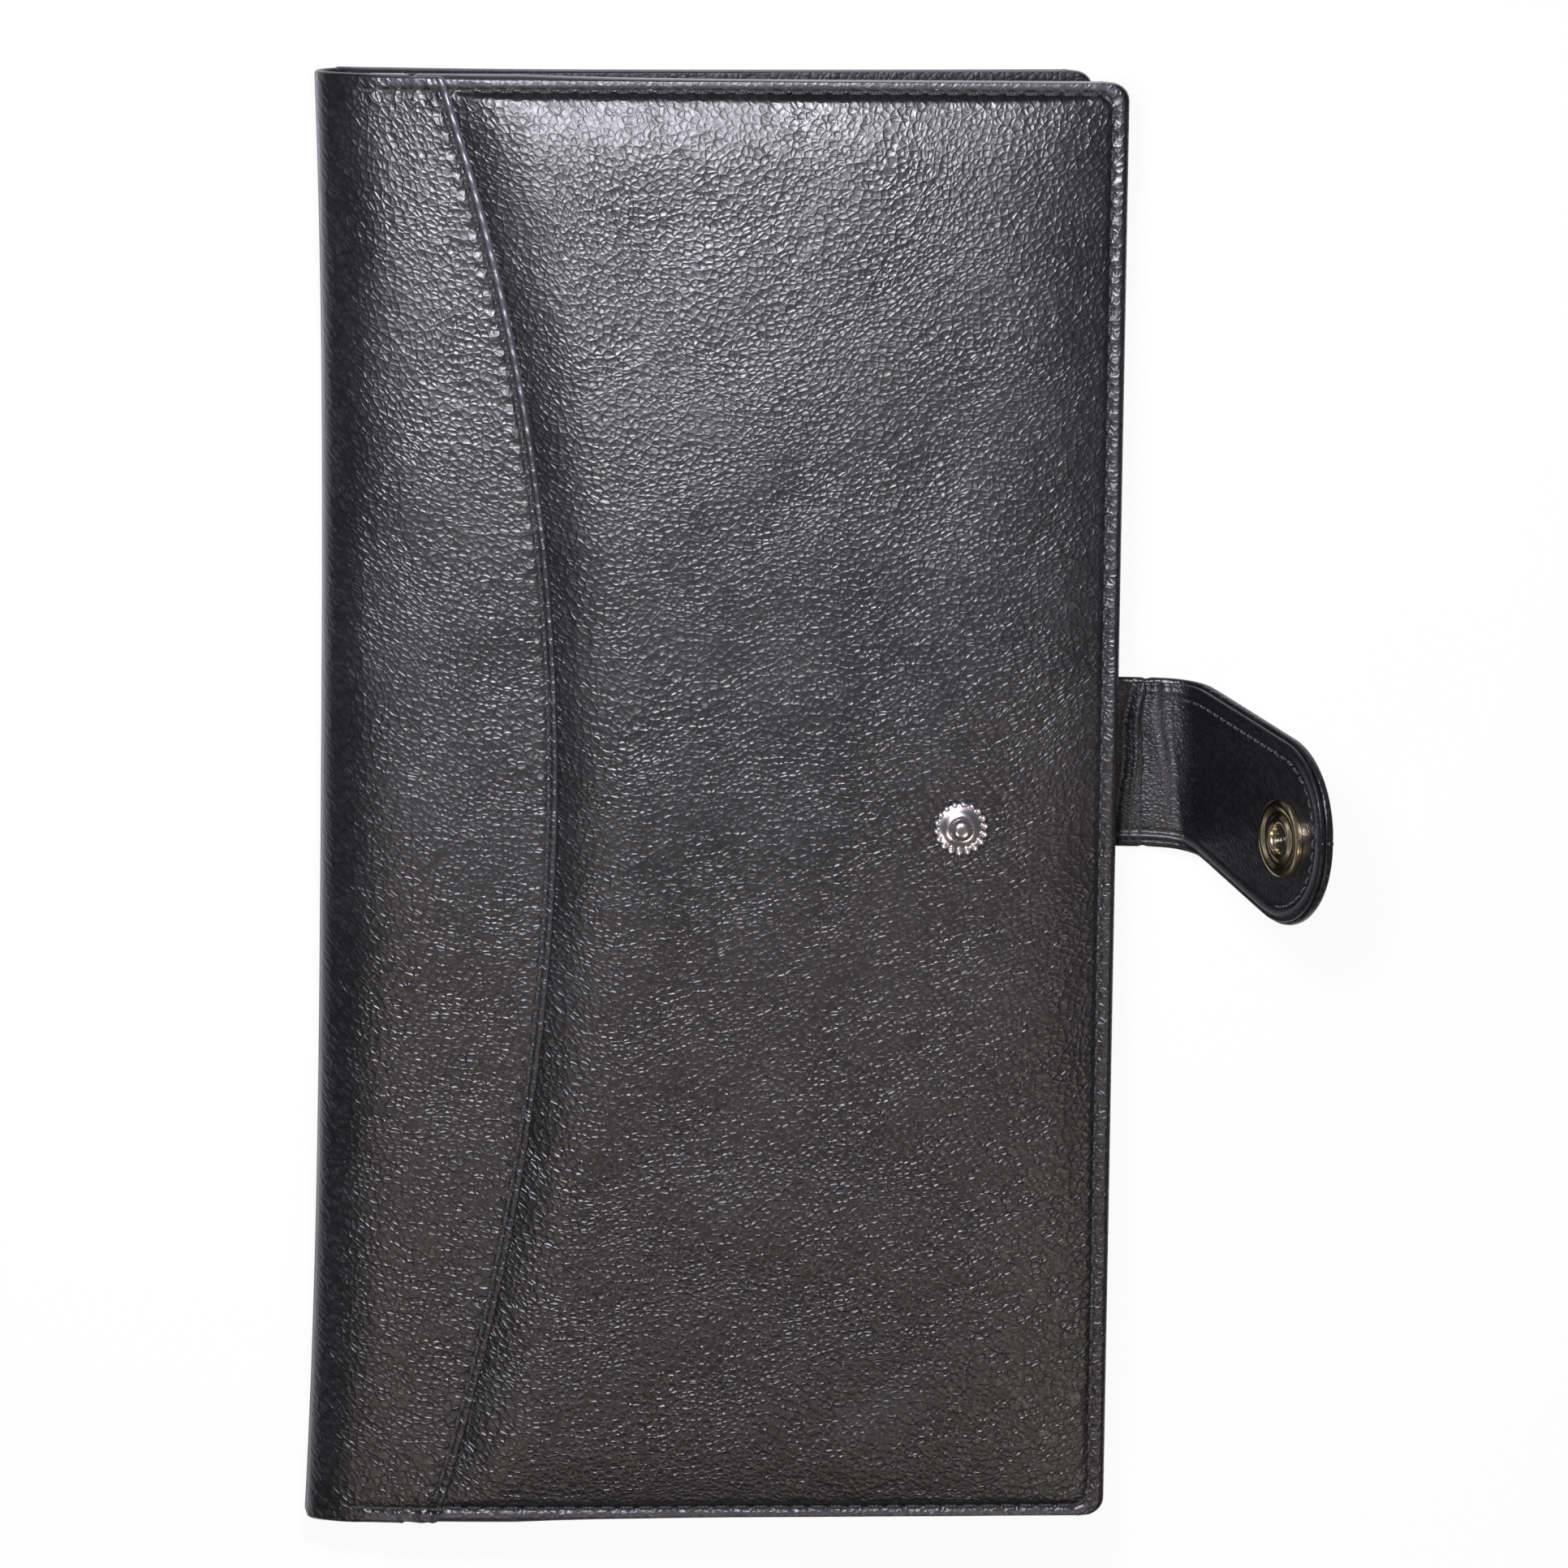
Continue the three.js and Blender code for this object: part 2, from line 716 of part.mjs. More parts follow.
place(front, 'front_spine_panel', frontSpinePanel(), grainLeather);
place(front, 'front_panel', frontPanel(), grainLeather);
place(front, 'front_padding', frontPadding(), foamStock);
place(front, 'front_board', frontBoard(), boardStock);
place(front, 'front_lining', frontLining(), liningCloth);
place(front, 'slip_pocket', slipPocket(), pocketHide);
for (let number = 0; number < cardSlotCount; number += 1) {
  place(front, `card_slot_${number + 1}`, cardSlot(number), pocketHide);
}
place(front, 'snap_stud', snapStud(), nickel).position.set(studX, studY, studSeat);
place(front, 'stud_eyelet', studEyelet(), nickel).position.set(studX, studY, 0);

// The strap turns at the back cover's edge, and the flap at the strap's end.
const strapTurn = new THREE.Group();
strapTurn.position.set(foldBase.x, 0, foldBase.y);
strapTurn.rotation.y = -THREE.MathUtils.degToRad(strapRestDegrees);
scene.add(strapTurn);
place(strapTurn, 'strap_leather', strapLeather(), smoothLeather);
place(strapTurn, 'strap_lining', strapLining(), smoothLeather);

const flapTurn = new THREE.Group();
flapTurn.position.set(strapLength, 0, 0);
flapTurn.rotation.y = -THREE.MathUtils.degToRad(flapRestDegrees - strapRestDegrees);
strapTurn.add(flapTurn);
place(flapTurn, 'flap_leather', flapLeather(), smoothLeather);
place(flapTurn, 'flap_lining', flapLining(), smoothLeather);
place(flapTurn, 'snap_socket', snapSocket(), nickel).position.set(socketDistance, studY, 0);
const springLevel = (leatherTop + tabLiningTop) / 2 + layerGap;
place(flapTurn, 'socket_spring', socketSpring(), springSteel).position.set(socketDistance, studY, springLevel);
place(flapTurn, 'snap_cap', snapCap(), nickel).position.set(socketDistance, studY, 0);

export default scene;
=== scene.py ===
import json
import math

import bpy
import numpy as np
from mathutils import Matrix, Vector, noise


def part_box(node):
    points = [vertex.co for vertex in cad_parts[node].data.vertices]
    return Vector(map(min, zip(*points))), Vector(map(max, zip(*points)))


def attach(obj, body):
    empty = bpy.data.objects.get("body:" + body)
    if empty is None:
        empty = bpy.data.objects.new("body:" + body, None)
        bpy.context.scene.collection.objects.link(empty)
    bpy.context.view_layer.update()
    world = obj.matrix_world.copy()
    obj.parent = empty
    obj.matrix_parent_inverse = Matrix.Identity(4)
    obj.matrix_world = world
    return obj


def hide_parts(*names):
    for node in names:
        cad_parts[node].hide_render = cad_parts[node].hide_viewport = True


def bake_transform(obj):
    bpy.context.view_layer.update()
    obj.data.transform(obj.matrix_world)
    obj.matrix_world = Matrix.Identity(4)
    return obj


# Travel document holder. Sizes are in millimetres until a mesh is made, which is in metres.

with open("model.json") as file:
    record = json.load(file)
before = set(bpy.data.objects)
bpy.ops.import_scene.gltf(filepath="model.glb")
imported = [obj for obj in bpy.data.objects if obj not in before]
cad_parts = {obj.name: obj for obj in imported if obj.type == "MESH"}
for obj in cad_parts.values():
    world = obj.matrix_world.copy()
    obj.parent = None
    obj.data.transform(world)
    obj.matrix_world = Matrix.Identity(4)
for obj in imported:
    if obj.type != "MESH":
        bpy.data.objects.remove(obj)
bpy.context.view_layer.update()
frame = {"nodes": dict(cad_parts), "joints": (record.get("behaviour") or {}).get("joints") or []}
MM = 0.001

# Sizes and places read from the frame
joints = {joint["name"]: joint for joint in frame["joints"]}


def pivot(name):
    x, _, z = joints[name]["pos_m"]
    return np.array([x / MM, z / MM])


def corners(node):
    low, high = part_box(node)
    return np.array(low) / MM, np.array(high) / MM


back_fold = pivot("spine_fold")
front_fold = pivot("front_fold")
strap_fold = pivot("strap_fold")
flap_fold = pivot("flap_fold")
leather = 2 * back_fold[1]
spine_height = front_fold[1] + back_fold[1]
spine_x = back_fold[0] - leather / 2
back_fore, half_height = corners("back_leather")[1][:2]
gape = -math.radians(joints["front_fold"]["range_deg"][0])
strap_angle = math.atan2(flap_fold[1] - strap_fold[1], flap_fold[0] - strap_fold[0])
strap_length = math.hypot(*(flap_fold - strap_fold))
flap_angle = math.radians(
    180 - joints["strap_fold"]["range_deg"][1] - joints["flap_fold"]["range_deg"][1]
)

# The covers' sizes, as in the CAD source
fore_overhang = 3.0
front_fore = back_fore + fore_overhang
roll_radius = 4.0
spine_bow = 1.8
corner_radius = 2.8
layer_gap = 0.3
skived = 0.8
board = 1.0
lining = 0.6
pocket_leather = 0.6
lining_inset = 0.8
cover_core = leather + layer_gap + board  # leather, glue and board together
board_top = spine_height - leather - layer_gap
core_low = board_top - board
lining_top = core_low - layer_gap
back_lining_low = cover_core + layer_gap

# The covers' edges, rounded and turned in over the board only here
edge_reach = 0.9  # how far a rounded edge stands out past the flat faces
turned_width = 4.2
turned_rise = lining + layer_gap - 0.15

# The lapped seam
seam_reach = 37.7
seam_crest = 3.0
seam_top_fall = 18.9
seam_bottom_fall = 17.9
lap_width = 5.0

# The padding
pad_rise = 1.6
fore_ramp = 17.0
pad_ramp = 12.0

# Stitching
stitch_pitch = 3.0
stitch_length = 2.3
thread = 0.55
pocket_thread = 0.4
tab_thread = 0.36
thread_end = 0.62  # of its thickness, where a stitch enters its hole
border_inset = 2.5  # from the edge to the perimeter stitching
seam_inset = 1.5  # from the lap's edge to its stitching

# The snap
stud_inset = 24.6
stud_x = front_fore - stud_inset
stud_y = -3.0

# The tab
tab_y0, tab_y1 = (corner[1] for corner in corners("tab_anchor"))
tab_leather = 1.1
tab_lining = 0.7
tab_half = (tab_leather + layer_gap + tab_lining) / 2
socket_distance = 29.525
tab_end_radius = 14.2
tab_end_y = stud_y + 1.5
tab_end_setback = 2.0
tab_end_sag = 1.3  # how far the tab's lower edge has stretched at its end
curl_radius = 7.0  # of the bend between strap and flap


# Shape rules


def smoothstep(value, low, high):
    share = np.clip((np.asarray(value, float) - low) / (high - low), 0, 1)
    return share * share * (3 - 2 * share)


def bell(distance, width, power=2):
    """1 at no distance, falling away softly, or with flat sides where the power is higher."""
    return np.exp(-((distance / width) ** power))


def spine_shift(y):
    return spine_bow * (1 - np.abs(y / half_height) ** 3)


def seam_x(y):
    above = np.asarray(y) > seam_crest
    span = np.where(above, half_height - seam_crest, half_height + seam_crest)
    fall = np.where(above, seam_top_fall, seam_bottom_fall)
    return spine_x + seam_reach - fall * ((y - seam_crest) / span) ** 2


def fore_edge(fore, y):
    """Where a cover's flat faces end beside its fore-edge, with its rounded corners."""
    over = max(0, abs(y) + edge_reach - (half_height - corner_radius))
    return fore - corner_radius + math.sqrt(max(0, corner_radius**2 - over**2)) - edge_reach


def pillow(distance, ramp):
    """Rises steeply from a stitched edge and levels off, as padding does."""
    return 1 - (1 - np.clip(distance / ramp, 0, 1)) ** 2


def padding(x, y):
    from_seam = pillow(x - seam_x(y), pad_ramp)
    to_fore = front_fore - border_inset - x
    from_fore = 0.72 * pillow(to_fore, fore_ramp) + 0.28 * pillow(to_fore, 3 * fore_ramp)
    to_end = half_height - border_inset - np.abs(y)
    from_ends = 0.45 * pillow(to_end, 1.6) + 0.55 * pillow(to_end, pad_ramp)
    return pad_rise * from_seam * from_fore * from_ends


def panel_top(x, y):
    under = board_top + layer_gap + padding(x, y)
    return under + skived + (leather - skived) * pillow(x - seam_x(y), pad_ramp)


def open_front(points):
    """Turns points of the flat front cover about its hinge by the gape."""
    out = np.array(points, float)
    dx = out[..., 0] - front_fold[0]
    dz = out[..., 2] - front_fold[1]
    out[..., 0] = front_fold[0] + dx * math.cos(gape) - dz * math.sin(gape)
    out[..., 2] = front_fold[1] + dx * math.sin(gape) + dz * math.cos(gape)
    return out


def waves(x, y, size, seed):
    """Smooth noise over a sheet, from about -1 to 1."""
    flat_x, flat_y = np.broadcast_arrays(x, y)
    values = [
        noise.noise(Vector((a / size, b / size, seed)))
        for a, b in zip(flat_x.ravel(), flat_y.ravel())
    ]
    return np.array(values).reshape(flat_x.shape)


def stations(start, *spans):
    """Places from the start through the end of each span, with as many of them as it says."""
    places = []
    for end, count in spans:
        places.append(np.linspace(start, end, count)[:-1])
        start = end
    return np.append(np.concatenate(places), start)


def rows_between(half, count):
    """Stations along Y, closer at the two ends."""
    share = np.linspace(-1, 1, count)
    return half * np.sign(share) * (1 - (1 - np.abs(share)) ** 1.35)


def joined(*parts):
    """Coordinates side by side along a new last axis. A single number serves for all points."""
    return np.stack(np.broadcast_arrays(*parts), axis=-1)


def lay(points, y):
    """Puts points in X and Z at Y."""
    return joined(points[:, 0], y, points[:, 1])


def heading(angle):
    return np.array([math.cos(angle), math.sin(angle)])


# Meshes


def add_object(name, data):
    found = bpy.data.objects.new(name, data)
    bpy.context.scene.collection.objects.link(found)
    return found


def mark(mesh, name, kind, field, values):
    """Keeps one value or vector for each point of a mesh, for the materials to read."""
    attribute = mesh.attributes.new(name, kind, "POINT")
    attribute.data.foreach_set(field, np.asarray(values, np.float32).ravel())


def make_mesh(name, vertices, faces, painted_highlight_and_rub=None):
    """A mesh that keeps each point's rest place, and how far its leather is smoothed and paled, partly for
    rubbing and partly as painted highlight.
    """
    mesh = bpy.data.meshes.new(name)
    mesh.from_pydata((np.asarray(vertices, float) * MM).tolist(), [], faces)
    mesh.update()
    mesh.polygons.foreach_set("use_smooth", [True] * len(mesh.polygons))
    mark(mesh, "rest_place", "FLOAT_VECTOR", "vector", vertices)
    if painted_highlight_and_rub is not None:
        mark(mesh, "painted_highlight_and_rub", "FLOAT", "value", painted_highlight_and_rub)
    return add_object(name, mesh)


def grid_faces(m, n, offset, order):
    first = [offset + i * n + j for i in range(m - 1) for j in range(n - 1)]
    return [(a, a + 1, a + n + 1, a + n)[::order] for a in first]


edge_steps = 6  # of a sheet's rounded edge


def skin(name, outer, inner, reach=9.0, painted_highlight_and_rub=None, square_column=None):
    """A closed sheet between two grids of points, with rounded edges that stand out by no more
    than reach, but none at the square column, where the next sheet goes on. Seen from outside
    the outer grid, rows run anticlockwise to columns."""
    m, n, _ = outer.shape
    vertices = [outer.reshape(-1, 3), inner.reshape(-1, 3)]
    faces = grid_faces(m, n, 0, 1) + grid_faces(m, n, m * n, -1)
    loop = (
        [(0, j) for j in range(n - 1)]
        + [(i, n - 1) for i in range(m - 1)]
        + [(m - 1, j) for j in range(n - 1, 0, -1)]
        + [(i, 0) for i in range(m - 1, 0, -1)]
    )
    index = np.array(loop)
    inward = joined(np.clip(index[:, 0], 1, m - 2), np.clip(index[:, 1], 1, n - 2))
    top = outer[index[:, 0], index[:, 1]]
    low = inner[index[:, 0], index[:, 1]]
    middle = (top + low) / 2
    inside = (outer[inward[:, 0], inward[:, 1]] + inner[inward[:, 0], inward[:, 1]]) / 2
    across = top - low
    radius = np.linalg.norm(across, axis=1, keepdims=True) / 2
    normal = across / np.maximum(2 * radius, 1e-9)
    out = middle - inside
    out -= normal * (out * normal).sum(axis=1, keepdims=True)
    out /= np.maximum(np.linalg.norm(out, axis=1, keepdims=True), 1e-9)
    stand_out = np.minimum(radius, reach)
    if square_column is not None:
        stand_out[index[:, 1] == square_column % n] = 0.01
    rim = index[:, 0] * n + index[:, 1]
    rings = [rim]
    start = 2 * m * n
    for step in range(1, edge_steps):
        angle = math.pi * step / edge_steps
        rise = math.copysign(abs(math.cos(angle)) ** 0.8, math.cos(angle))
        stand = math.sin(angle) ** 0.8
        vertices.append(middle + radius * normal * rise + out * stand_out * stand)
        rings.append(start + np.arange(len(loop)) + (step - 1) * len(loop))
    rings.append(m * n + rim)
    for one, two in zip(rings[:-1], rings[1:]):
        for k in range(len(loop)):
            after = (k + 1) % len(loop)
            faces.append((int(one[k]), int(two[k]), int(two[after]), int(one[after])))
    # Painted highlight and rubbing, carried from the grid on to the rounded rim.
    highlight_and_rub_values = None
    if painted_highlight_and_rub is not None:
        rim_highlight_and_rub = painted_highlight_and_rub[index[:, 0], index[:, 1]]
        highlight_and_rub_values = np.concatenate([painted_highlight_and_rub.ravel(), painted_highlight_and_rub.ravel()] + [rim_highlight_and_rub] * (edge_steps - 1))
    piece = make_mesh(name, np.concatenate(vertices), faces, highlight_and_rub_values)
    if square_column is not None:
        piece.data.set_sharp_from_angle(angle=math.radians(55))
    return piece


def tubes(name, strands, thickness, sides=6):
    """Short threads: each strand is a list of points, made into a closed tube with thin ends."""
    radius = thickness / 2
    angles = 2 * math.pi * np.arange(sides)[:, None] / sides
    vertices, faces = [], []
    for strand in strands:
        points = np.asarray(strand, float)
        forward = points[-1] - points[0]
        forward /= np.linalg.norm(forward)
        side = np.cross(forward, [0, 0, 1.0])
        side /= np.linalg.norm(side)
        ring = side * np.cos(angles) + np.cross(side, forward) * np.sin(angles)
        start = len(vertices)
        end = start + (len(points) - 1) * sides
        for k, point in enumerate(points):
            vertices.extend(point + radius * (thread_end if k in (0, len(points) - 1) else 1) * ring)
        for a in range(start, end):
            b = a + 1 if (a + 1 - start) % sides else a + 1 - sides
            faces.append((a, b, b + sides, a + sides))
        faces.append(tuple(range(start, start + sides))[::-1])
        faces.append(tuple(range(end, end + sides)))
    return make_mesh(name, np.array(vertices), faces)


def add_turned(vertices, faces, profile, segments, centre=(0, 0, 0)):
    """Adds a form turned from a profile of (radius, height), closed by its poles or on itself."""
    rings = []
    for radius, height in profile:
        count = segments if radius > 1e-6 else 1
        rings.append(range(len(vertices), len(vertices) + count))
        for s in range(count):
            x, y = radius * heading(2 * math.pi * s / segments)
            vertices.append((centre[0] + x, centre[1] + y, centre[2] + height))
    pairs = list(zip(rings[:-1], rings[1:]))
    if len(rings[0]) > 1 and len(rings[-1]) > 1:
        pairs.append((rings[-1], rings[0]))
    for one, two in pairs:
        for s in range(segments):
            t = (s + 1) % segments
            quad = (one[s % len(one)], one[t % len(one)], two[t % len(two)], two[s % len(two)])
            faces.append(tuple(dict.fromkeys(quad)))


def turned(name, profile, frame_matrix):
    """A turned part, placed by a matrix in metres."""
    vertices, faces = [], []
    add_turned(vertices, faces, profile, 72)
    piece = make_mesh(name, np.array(vertices), faces)
    piece.data.transform(frame_matrix)
    piece.data.set_sharp_from_angle(angle=math.radians(38))
    return piece


# Camera, from the photograph's viewing angle

camera_distance = 1800.0
camera_tilt_top = math.radians(9.78)
camera_tilt_spine = math.radians(8.61)
camera_roll = math.radians(-0.79)
camera_shift = (-14.08, -0.87)
pixels_per_mm = 7.8658
photo_pixels = 1932
sensor = 36.0


def make_camera():
    data = bpy.data.cameras.new("camera")
    data.sensor_width = sensor
    data.lens = sensor * pixels_per_mm * camera_distance / photo_pixels
    data.clip_start, data.clip_end = 0.05, 20
    turn = (
        Matrix.Rotation(camera_roll, 3, "Z")
        @ Matrix.Rotation(camera_tilt_top, 3, "X")
        @ Matrix.Rotation(camera_tilt_spine, 3, "Y")
    )
    back = turn.transposed()
    place = back @ Vector((-camera_shift[0], -camera_shift[1], camera_distance)) * MM
    camera = add_object("camera", data)
    camera.matrix_world = Matrix.Translation(place) @ back.to_4x4()
    bpy.context.scene.camera = camera


# Materials


class Nodes:
    """A small helper that builds the nodes of a material or of the world."""

    def __init__(self, owner, shader="Principled BSDF"):
        owner.use_nodes = True
        self.material = owner
        self.tree = owner.node_tree
        self.shader = self.tree.nodes[shader]

    def feed(self, socket, value):
        """Links another node's socket to this one, or sets this one's own value."""
        if isinstance(value, bpy.types.NodeSocket):
            self.tree.links.new(value, socket)
        else:
            socket.default_value = (*value, 1) if socket.type == "RGBA" else value

    def add(self, kind, inputs=None, **settings):
        node = self.tree.nodes.new(kind)
        for key, value in settings.items():
            setattr(node, key, value)
        for key, value in (inputs or {}).items():
            self.feed(node.inputs[key], value)
        return node

    def set(self, **values):
        for key, value in values.items():
            self.feed(self.shader.inputs[key.replace("_", " ")], value)

    def attribute(self, name, output):
        return self.add("ShaderNodeAttribute", attribute_name=name).outputs[output]

    def mix(self, low, high, factor):
        node = self.add("ShaderNodeMix", {"Factor": factor}, data_type="RGBA")
        for socket, value in zip([s for s in node.inputs if s.type == "RGBA"], (low, high)):
            self.feed(socket, value)
        return [s for s in node.outputs if s.type == "RGBA"][0]

    def ramp(self, value, low, high, out_low=0.0, out_high=1.0):
        ends = {"From Min": low, "From Max": high, "To Min": out_low, "To Max": out_high}
        kind = {"interpolation_type": "SMOOTHSTEP"}
        return self.add("ShaderNodeMapRange", {"Value": value, **ends}, **kind).outputs["Result"]

    def maths(self, operation, *values):
        return self.add("ShaderNodeMath", dict(enumerate(values)), operation=operation).outputs[0]

    def noise(self, vector, scale, detail=3.0, roughness=0.5, output="Fac"):
        inputs = {"Vector": vector, "Scale": scale, "Detail": detail, "Roughness": roughness}
        return self.add("ShaderNodeTexNoise", inputs).outputs[output]

    def cells(self, vector, feature="DISTANCE_TO_EDGE"):
        inputs = {"Vector": vector, "Scale": 1.0}
        return self.add("ShaderNodeTexVoronoi", inputs, feature=feature).outputs["Distance"]

    def wave(self, vector, scale, distortion, direction):
        inputs = {"Vector": vector, "Scale": scale, "Distortion": distortion}
        return self.add("ShaderNodeTexWave", inputs, bands_direction=direction).outputs["Fac"]

    def warped(self, vector, scale, amount):
        kind = "ShaderNodeVectorMath"
        shift = self.noise(vector, scale, 2.0, output="Color")
        centred = self.add(kind, {0: shift, 1: (0.5, 0.5, 0.5)}, operation="SUBTRACT").outputs[0]
        moved = self.add(kind, {0: centred, "Scale": amount}, operation="SCALE").outputs[0]
        return self.add(kind, {0: vector, 1: moved}, operation="ADD").outputs[0]

    def bump(self, height, distance, strength):
        inputs = {"Height": height, "Distance": distance, "Strength": strength}
        self.set(Normal=self.add("ShaderNodeBump", inputs).outputs["Normal"])


def grain_leather(name, size=0.92, depth=0.000085, shine=(0.29, 0.39)):
    """Pebbled black leather. The pebbles are stretched along arcs about a point above the cover,
    as the hide's creases run, and they are rounder near that point."""
    # The third colour is painted highlight, partly also the paling of rubbed edges.
    crevice_shade, light, painted_highlight_tone = (0.003, 0.003, 0.0035), (0.016, 0.0155, 0.0185), (0.06, 0.058, 0.07)
    n = Nodes(bpy.data.materials.new(name))
    place = n.attribute("rest_place", "Vector")
    painted_highlight_and_rub = n.attribute("painted_highlight_and_rub", "Fac")
    parts = n.add("ShaderNodeSeparateXYZ", {"Vector": place}).outputs
    drift = n.noise(place, 0.03, 2.0)
    off_x = n.maths("SUBTRACT", parts["X"], 6.0)
    off_y = n.maths("SUBTRACT", parts["Y"], 132.0)
    reach = n.maths("ADD", n.maths("MULTIPLY", off_x, off_x), n.maths("MULTIPLY", off_y, off_y))
    arcs = n.maths("SQRT", n.maths("ADD", reach, 45.0**2))
    arcs = n.maths("ADD", arcs, n.maths("MULTIPLY", drift, 26.0))
    around = n.maths("ADD", parts["Y"], parts["Z"])

    def stretched(along, across, seed):
        inputs = {
            "X": n.maths("MULTIPLY_ADD", parts["X"], along / size, seed),
            "Y": n.maths("MULTIPLY", around, along / size),
            "Z": n.maths("MULTIPLY", arcs, across / size),
        }
        return n.add("ShaderNodeCombineXYZ", inputs).outputs[0]

    cell_place = n.warped(stretched(0.84, 0.66, 0.0), 0.6, 0.5)
    valleys = n.ramp(n.cells(cell_place), 0.0, 0.3)
    off_centre = n.maths("MULTIPLY", n.cells(cell_place, "F1"), 1.25)
    domes = n.maths("SUBTRACT", 1.0, n.maths("MULTIPLY", off_centre, off_centre))
    pebbles = n.maths("MULTIPLY_ADD", domes, 0.5, n.maths("MULTIPLY", valleys, 0.5))
    creases = n.ramp(n.cells(n.warped(stretched(0.17, 0.5, 7.0), 0.8, 0.7)), 0.0, 0.3)
    pores = n.noise(place, 4.0, 3.0, 0.6)
    height = n.maths("MULTIPLY", pebbles, n.maths("MULTIPLY_ADD", creases, 0.45, 0.55))
    height = n.maths("MULTIPLY_ADD", pores, 0.14, height)
    height = n.maths("MULTIPLY", height, n.maths("MULTIPLY_ADD", painted_highlight_and_rub, -0.8, 1.0))
    patch = n.noise(place, 0.06, 3.0, 0.55)
    # Painted shade: the colour follows the grain's height, darker down in its crevices; the broad patches
    # vary at random.
    tone = n.maths("MULTIPLY", height, n.ramp(patch, 0.3, 0.7, 0.6, 1.0))
    # Painted highlight: the attribute mixes in the pale colour where light would catch the seam, the tab's
    # line and folds, and partly where edges are rubbed.
    n.set(Base_Color=n.mix(n.mix(crevice_shade, light, tone), painted_highlight_tone, painted_highlight_and_rub))
    n.set(Roughness=n.ramp(n.maths("ADD", pores, patch), 0.7, 1.3, *shine))
    n.set(Specular_IOR_Level=0.5, Coat_Weight=0.1, Coat_Roughness=0.3)
    deeper_below = n.ramp(parts["Y"], -85.0, 0.0, 1.7, 1.0)
    n.bump(n.maths("MULTIPLY", height, deeper_below), depth, 1.0)
    return n.material


def lining_cloth(name):
    """A ribbed weave: ribs across the cover, crossed by finer threads and a little uneven."""
    n = Nodes(bpy.data.materials.new(name))
    place = n.attribute("rest_place", "Vector")
    ribs = n.maths("MULTIPLY", n.wave(place, 0.3, 0.5, "Y"), 0.7)
    weave = n.maths("MULTIPLY_ADD", n.wave(place, 0.62, 0.8, "X"), 0.3, ribs)
    slub = n.ramp(n.noise(place, 1.4), 0.3, 0.7, 0.6, 1.0)
    patch = n.ramp(n.noise(place, 0.07, 3.0, 0.6), 0.3, 0.7, 0.65, 1.0)
    tone = n.maths("MULTIPLY", weave, n.maths("MULTIPLY", slub, patch))
    n.set(Base_Color=n.mix((0.006, 0.006, 0.008), (0.03, 0.03, 0.034), tone))
    n.set(Roughness=0.7, Sheen_Weight=0.12, Sheen_Roughness=0.5)
    n.bump(weave, 0.00014, 0.8)
    return n.material


def thread_finish(name):
    """Waxed black thread with its twist."""
    n = Nodes(bpy.data.materials.new(name))
    twist = n.wave(n.attribute("rest_place", "Vector"), 1.1, 0.5, "DIAGONAL")
    n.set(Base_Color=n.mix((0.008, 0.008, 0.009), (0.035, 0.035, 0.038), twist))
    n.set(Roughness=0.45, Sheen_Weight=0.2)
    n.bump(twist, 0.00008, 0.8)
    return n.material


def metal(name, colour, rough_low, rough_high, tarnish=(0.35, 0.31, 0.25)):
    """Polished plate, hazed and a little tarnished in patches."""
    n = Nodes(bpy.data.materials.new(name))
    place = n.attribute("rest_place", "Vector")
    haze = n.noise(place, 1.3, 4.0, 0.6)
    fine = n.noise(place, 9.0, 2.0)
    n.set(Base_Color=n.mix(colour, tarnish, n.ramp(haze, 0.5, 0.8, 0.0, 0.45)))
    n.set(Metallic=1.0, Roughness=n.ramp(fine, 0.3, 0.7, rough_low, rough_high))
    n.bump(fine, 0.00001, 0.3)
    return n.material


leather_finish = grain_leather("grain_leather_finish")
back_finish = grain_leather("back_leather_finish", shine=(0.4, 0.52))
pocket_finish = grain_leather("pocket_leather_finish", size=0.6, depth=0.00005)
smooth_finish = grain_leather("smooth_leather_finish", size=0.6, depth=0.00006, shine=(0.36, 0.48))
lining_finish = lining_cloth("lining_cloth_finish")
stitch_finish = thread_finish("thread_finish")
nickel_finish = metal("nickel_finish", (0.60, 0.58, 0.59), 0.14, 0.26)
# Painted highlight: the beads are the stud's nickel, paler than the flange so that each bead reads as lit.
bead_highlight_nickel_finish = metal("bead_highlight_nickel_finish", (0.86, 0.80, 0.84), 0.3, 0.38, (0.7, 0.62, 0.58))
# Painted reflection: the socket's nickel is tinted brass and made brighter than the stud's, standing in for
# a warm reflection.
socket_finish = metal("socket_finish", (0.74, 0.63, 0.42), 0.15, 0.24, (0.4, 0.3, 0.16))
spring_finish = metal("spring_steel_finish", (0.62, 0.56, 0.44), 0.25, 0.38)


def dress(piece, material):
    piece.data.materials.clear()
    piece.data.materials.append(material)
    return piece


# Back cover and the lower half of the spine

mid_spine = spine_height / 2
back_rows = 300
front_rows = 460


def turned_edge(x, y, fore):
    """1 where the leather is turned in along a cover's three free edges, 0 inside."""
    inside = np.minimum(fore - x, half_height - abs(y))
    return 1 - smoothstep(inside, turned_width - 0.4, turned_width)


def roll_points(centre, radius):
    """The quarter turn from below a centre to beside it, without its first point."""
    angles = np.radians(np.linspace(270, 180, 12))[1:]
    return joined(centre[0] + radius * np.cos(angles), centre[1] + radius * np.sin(angles))


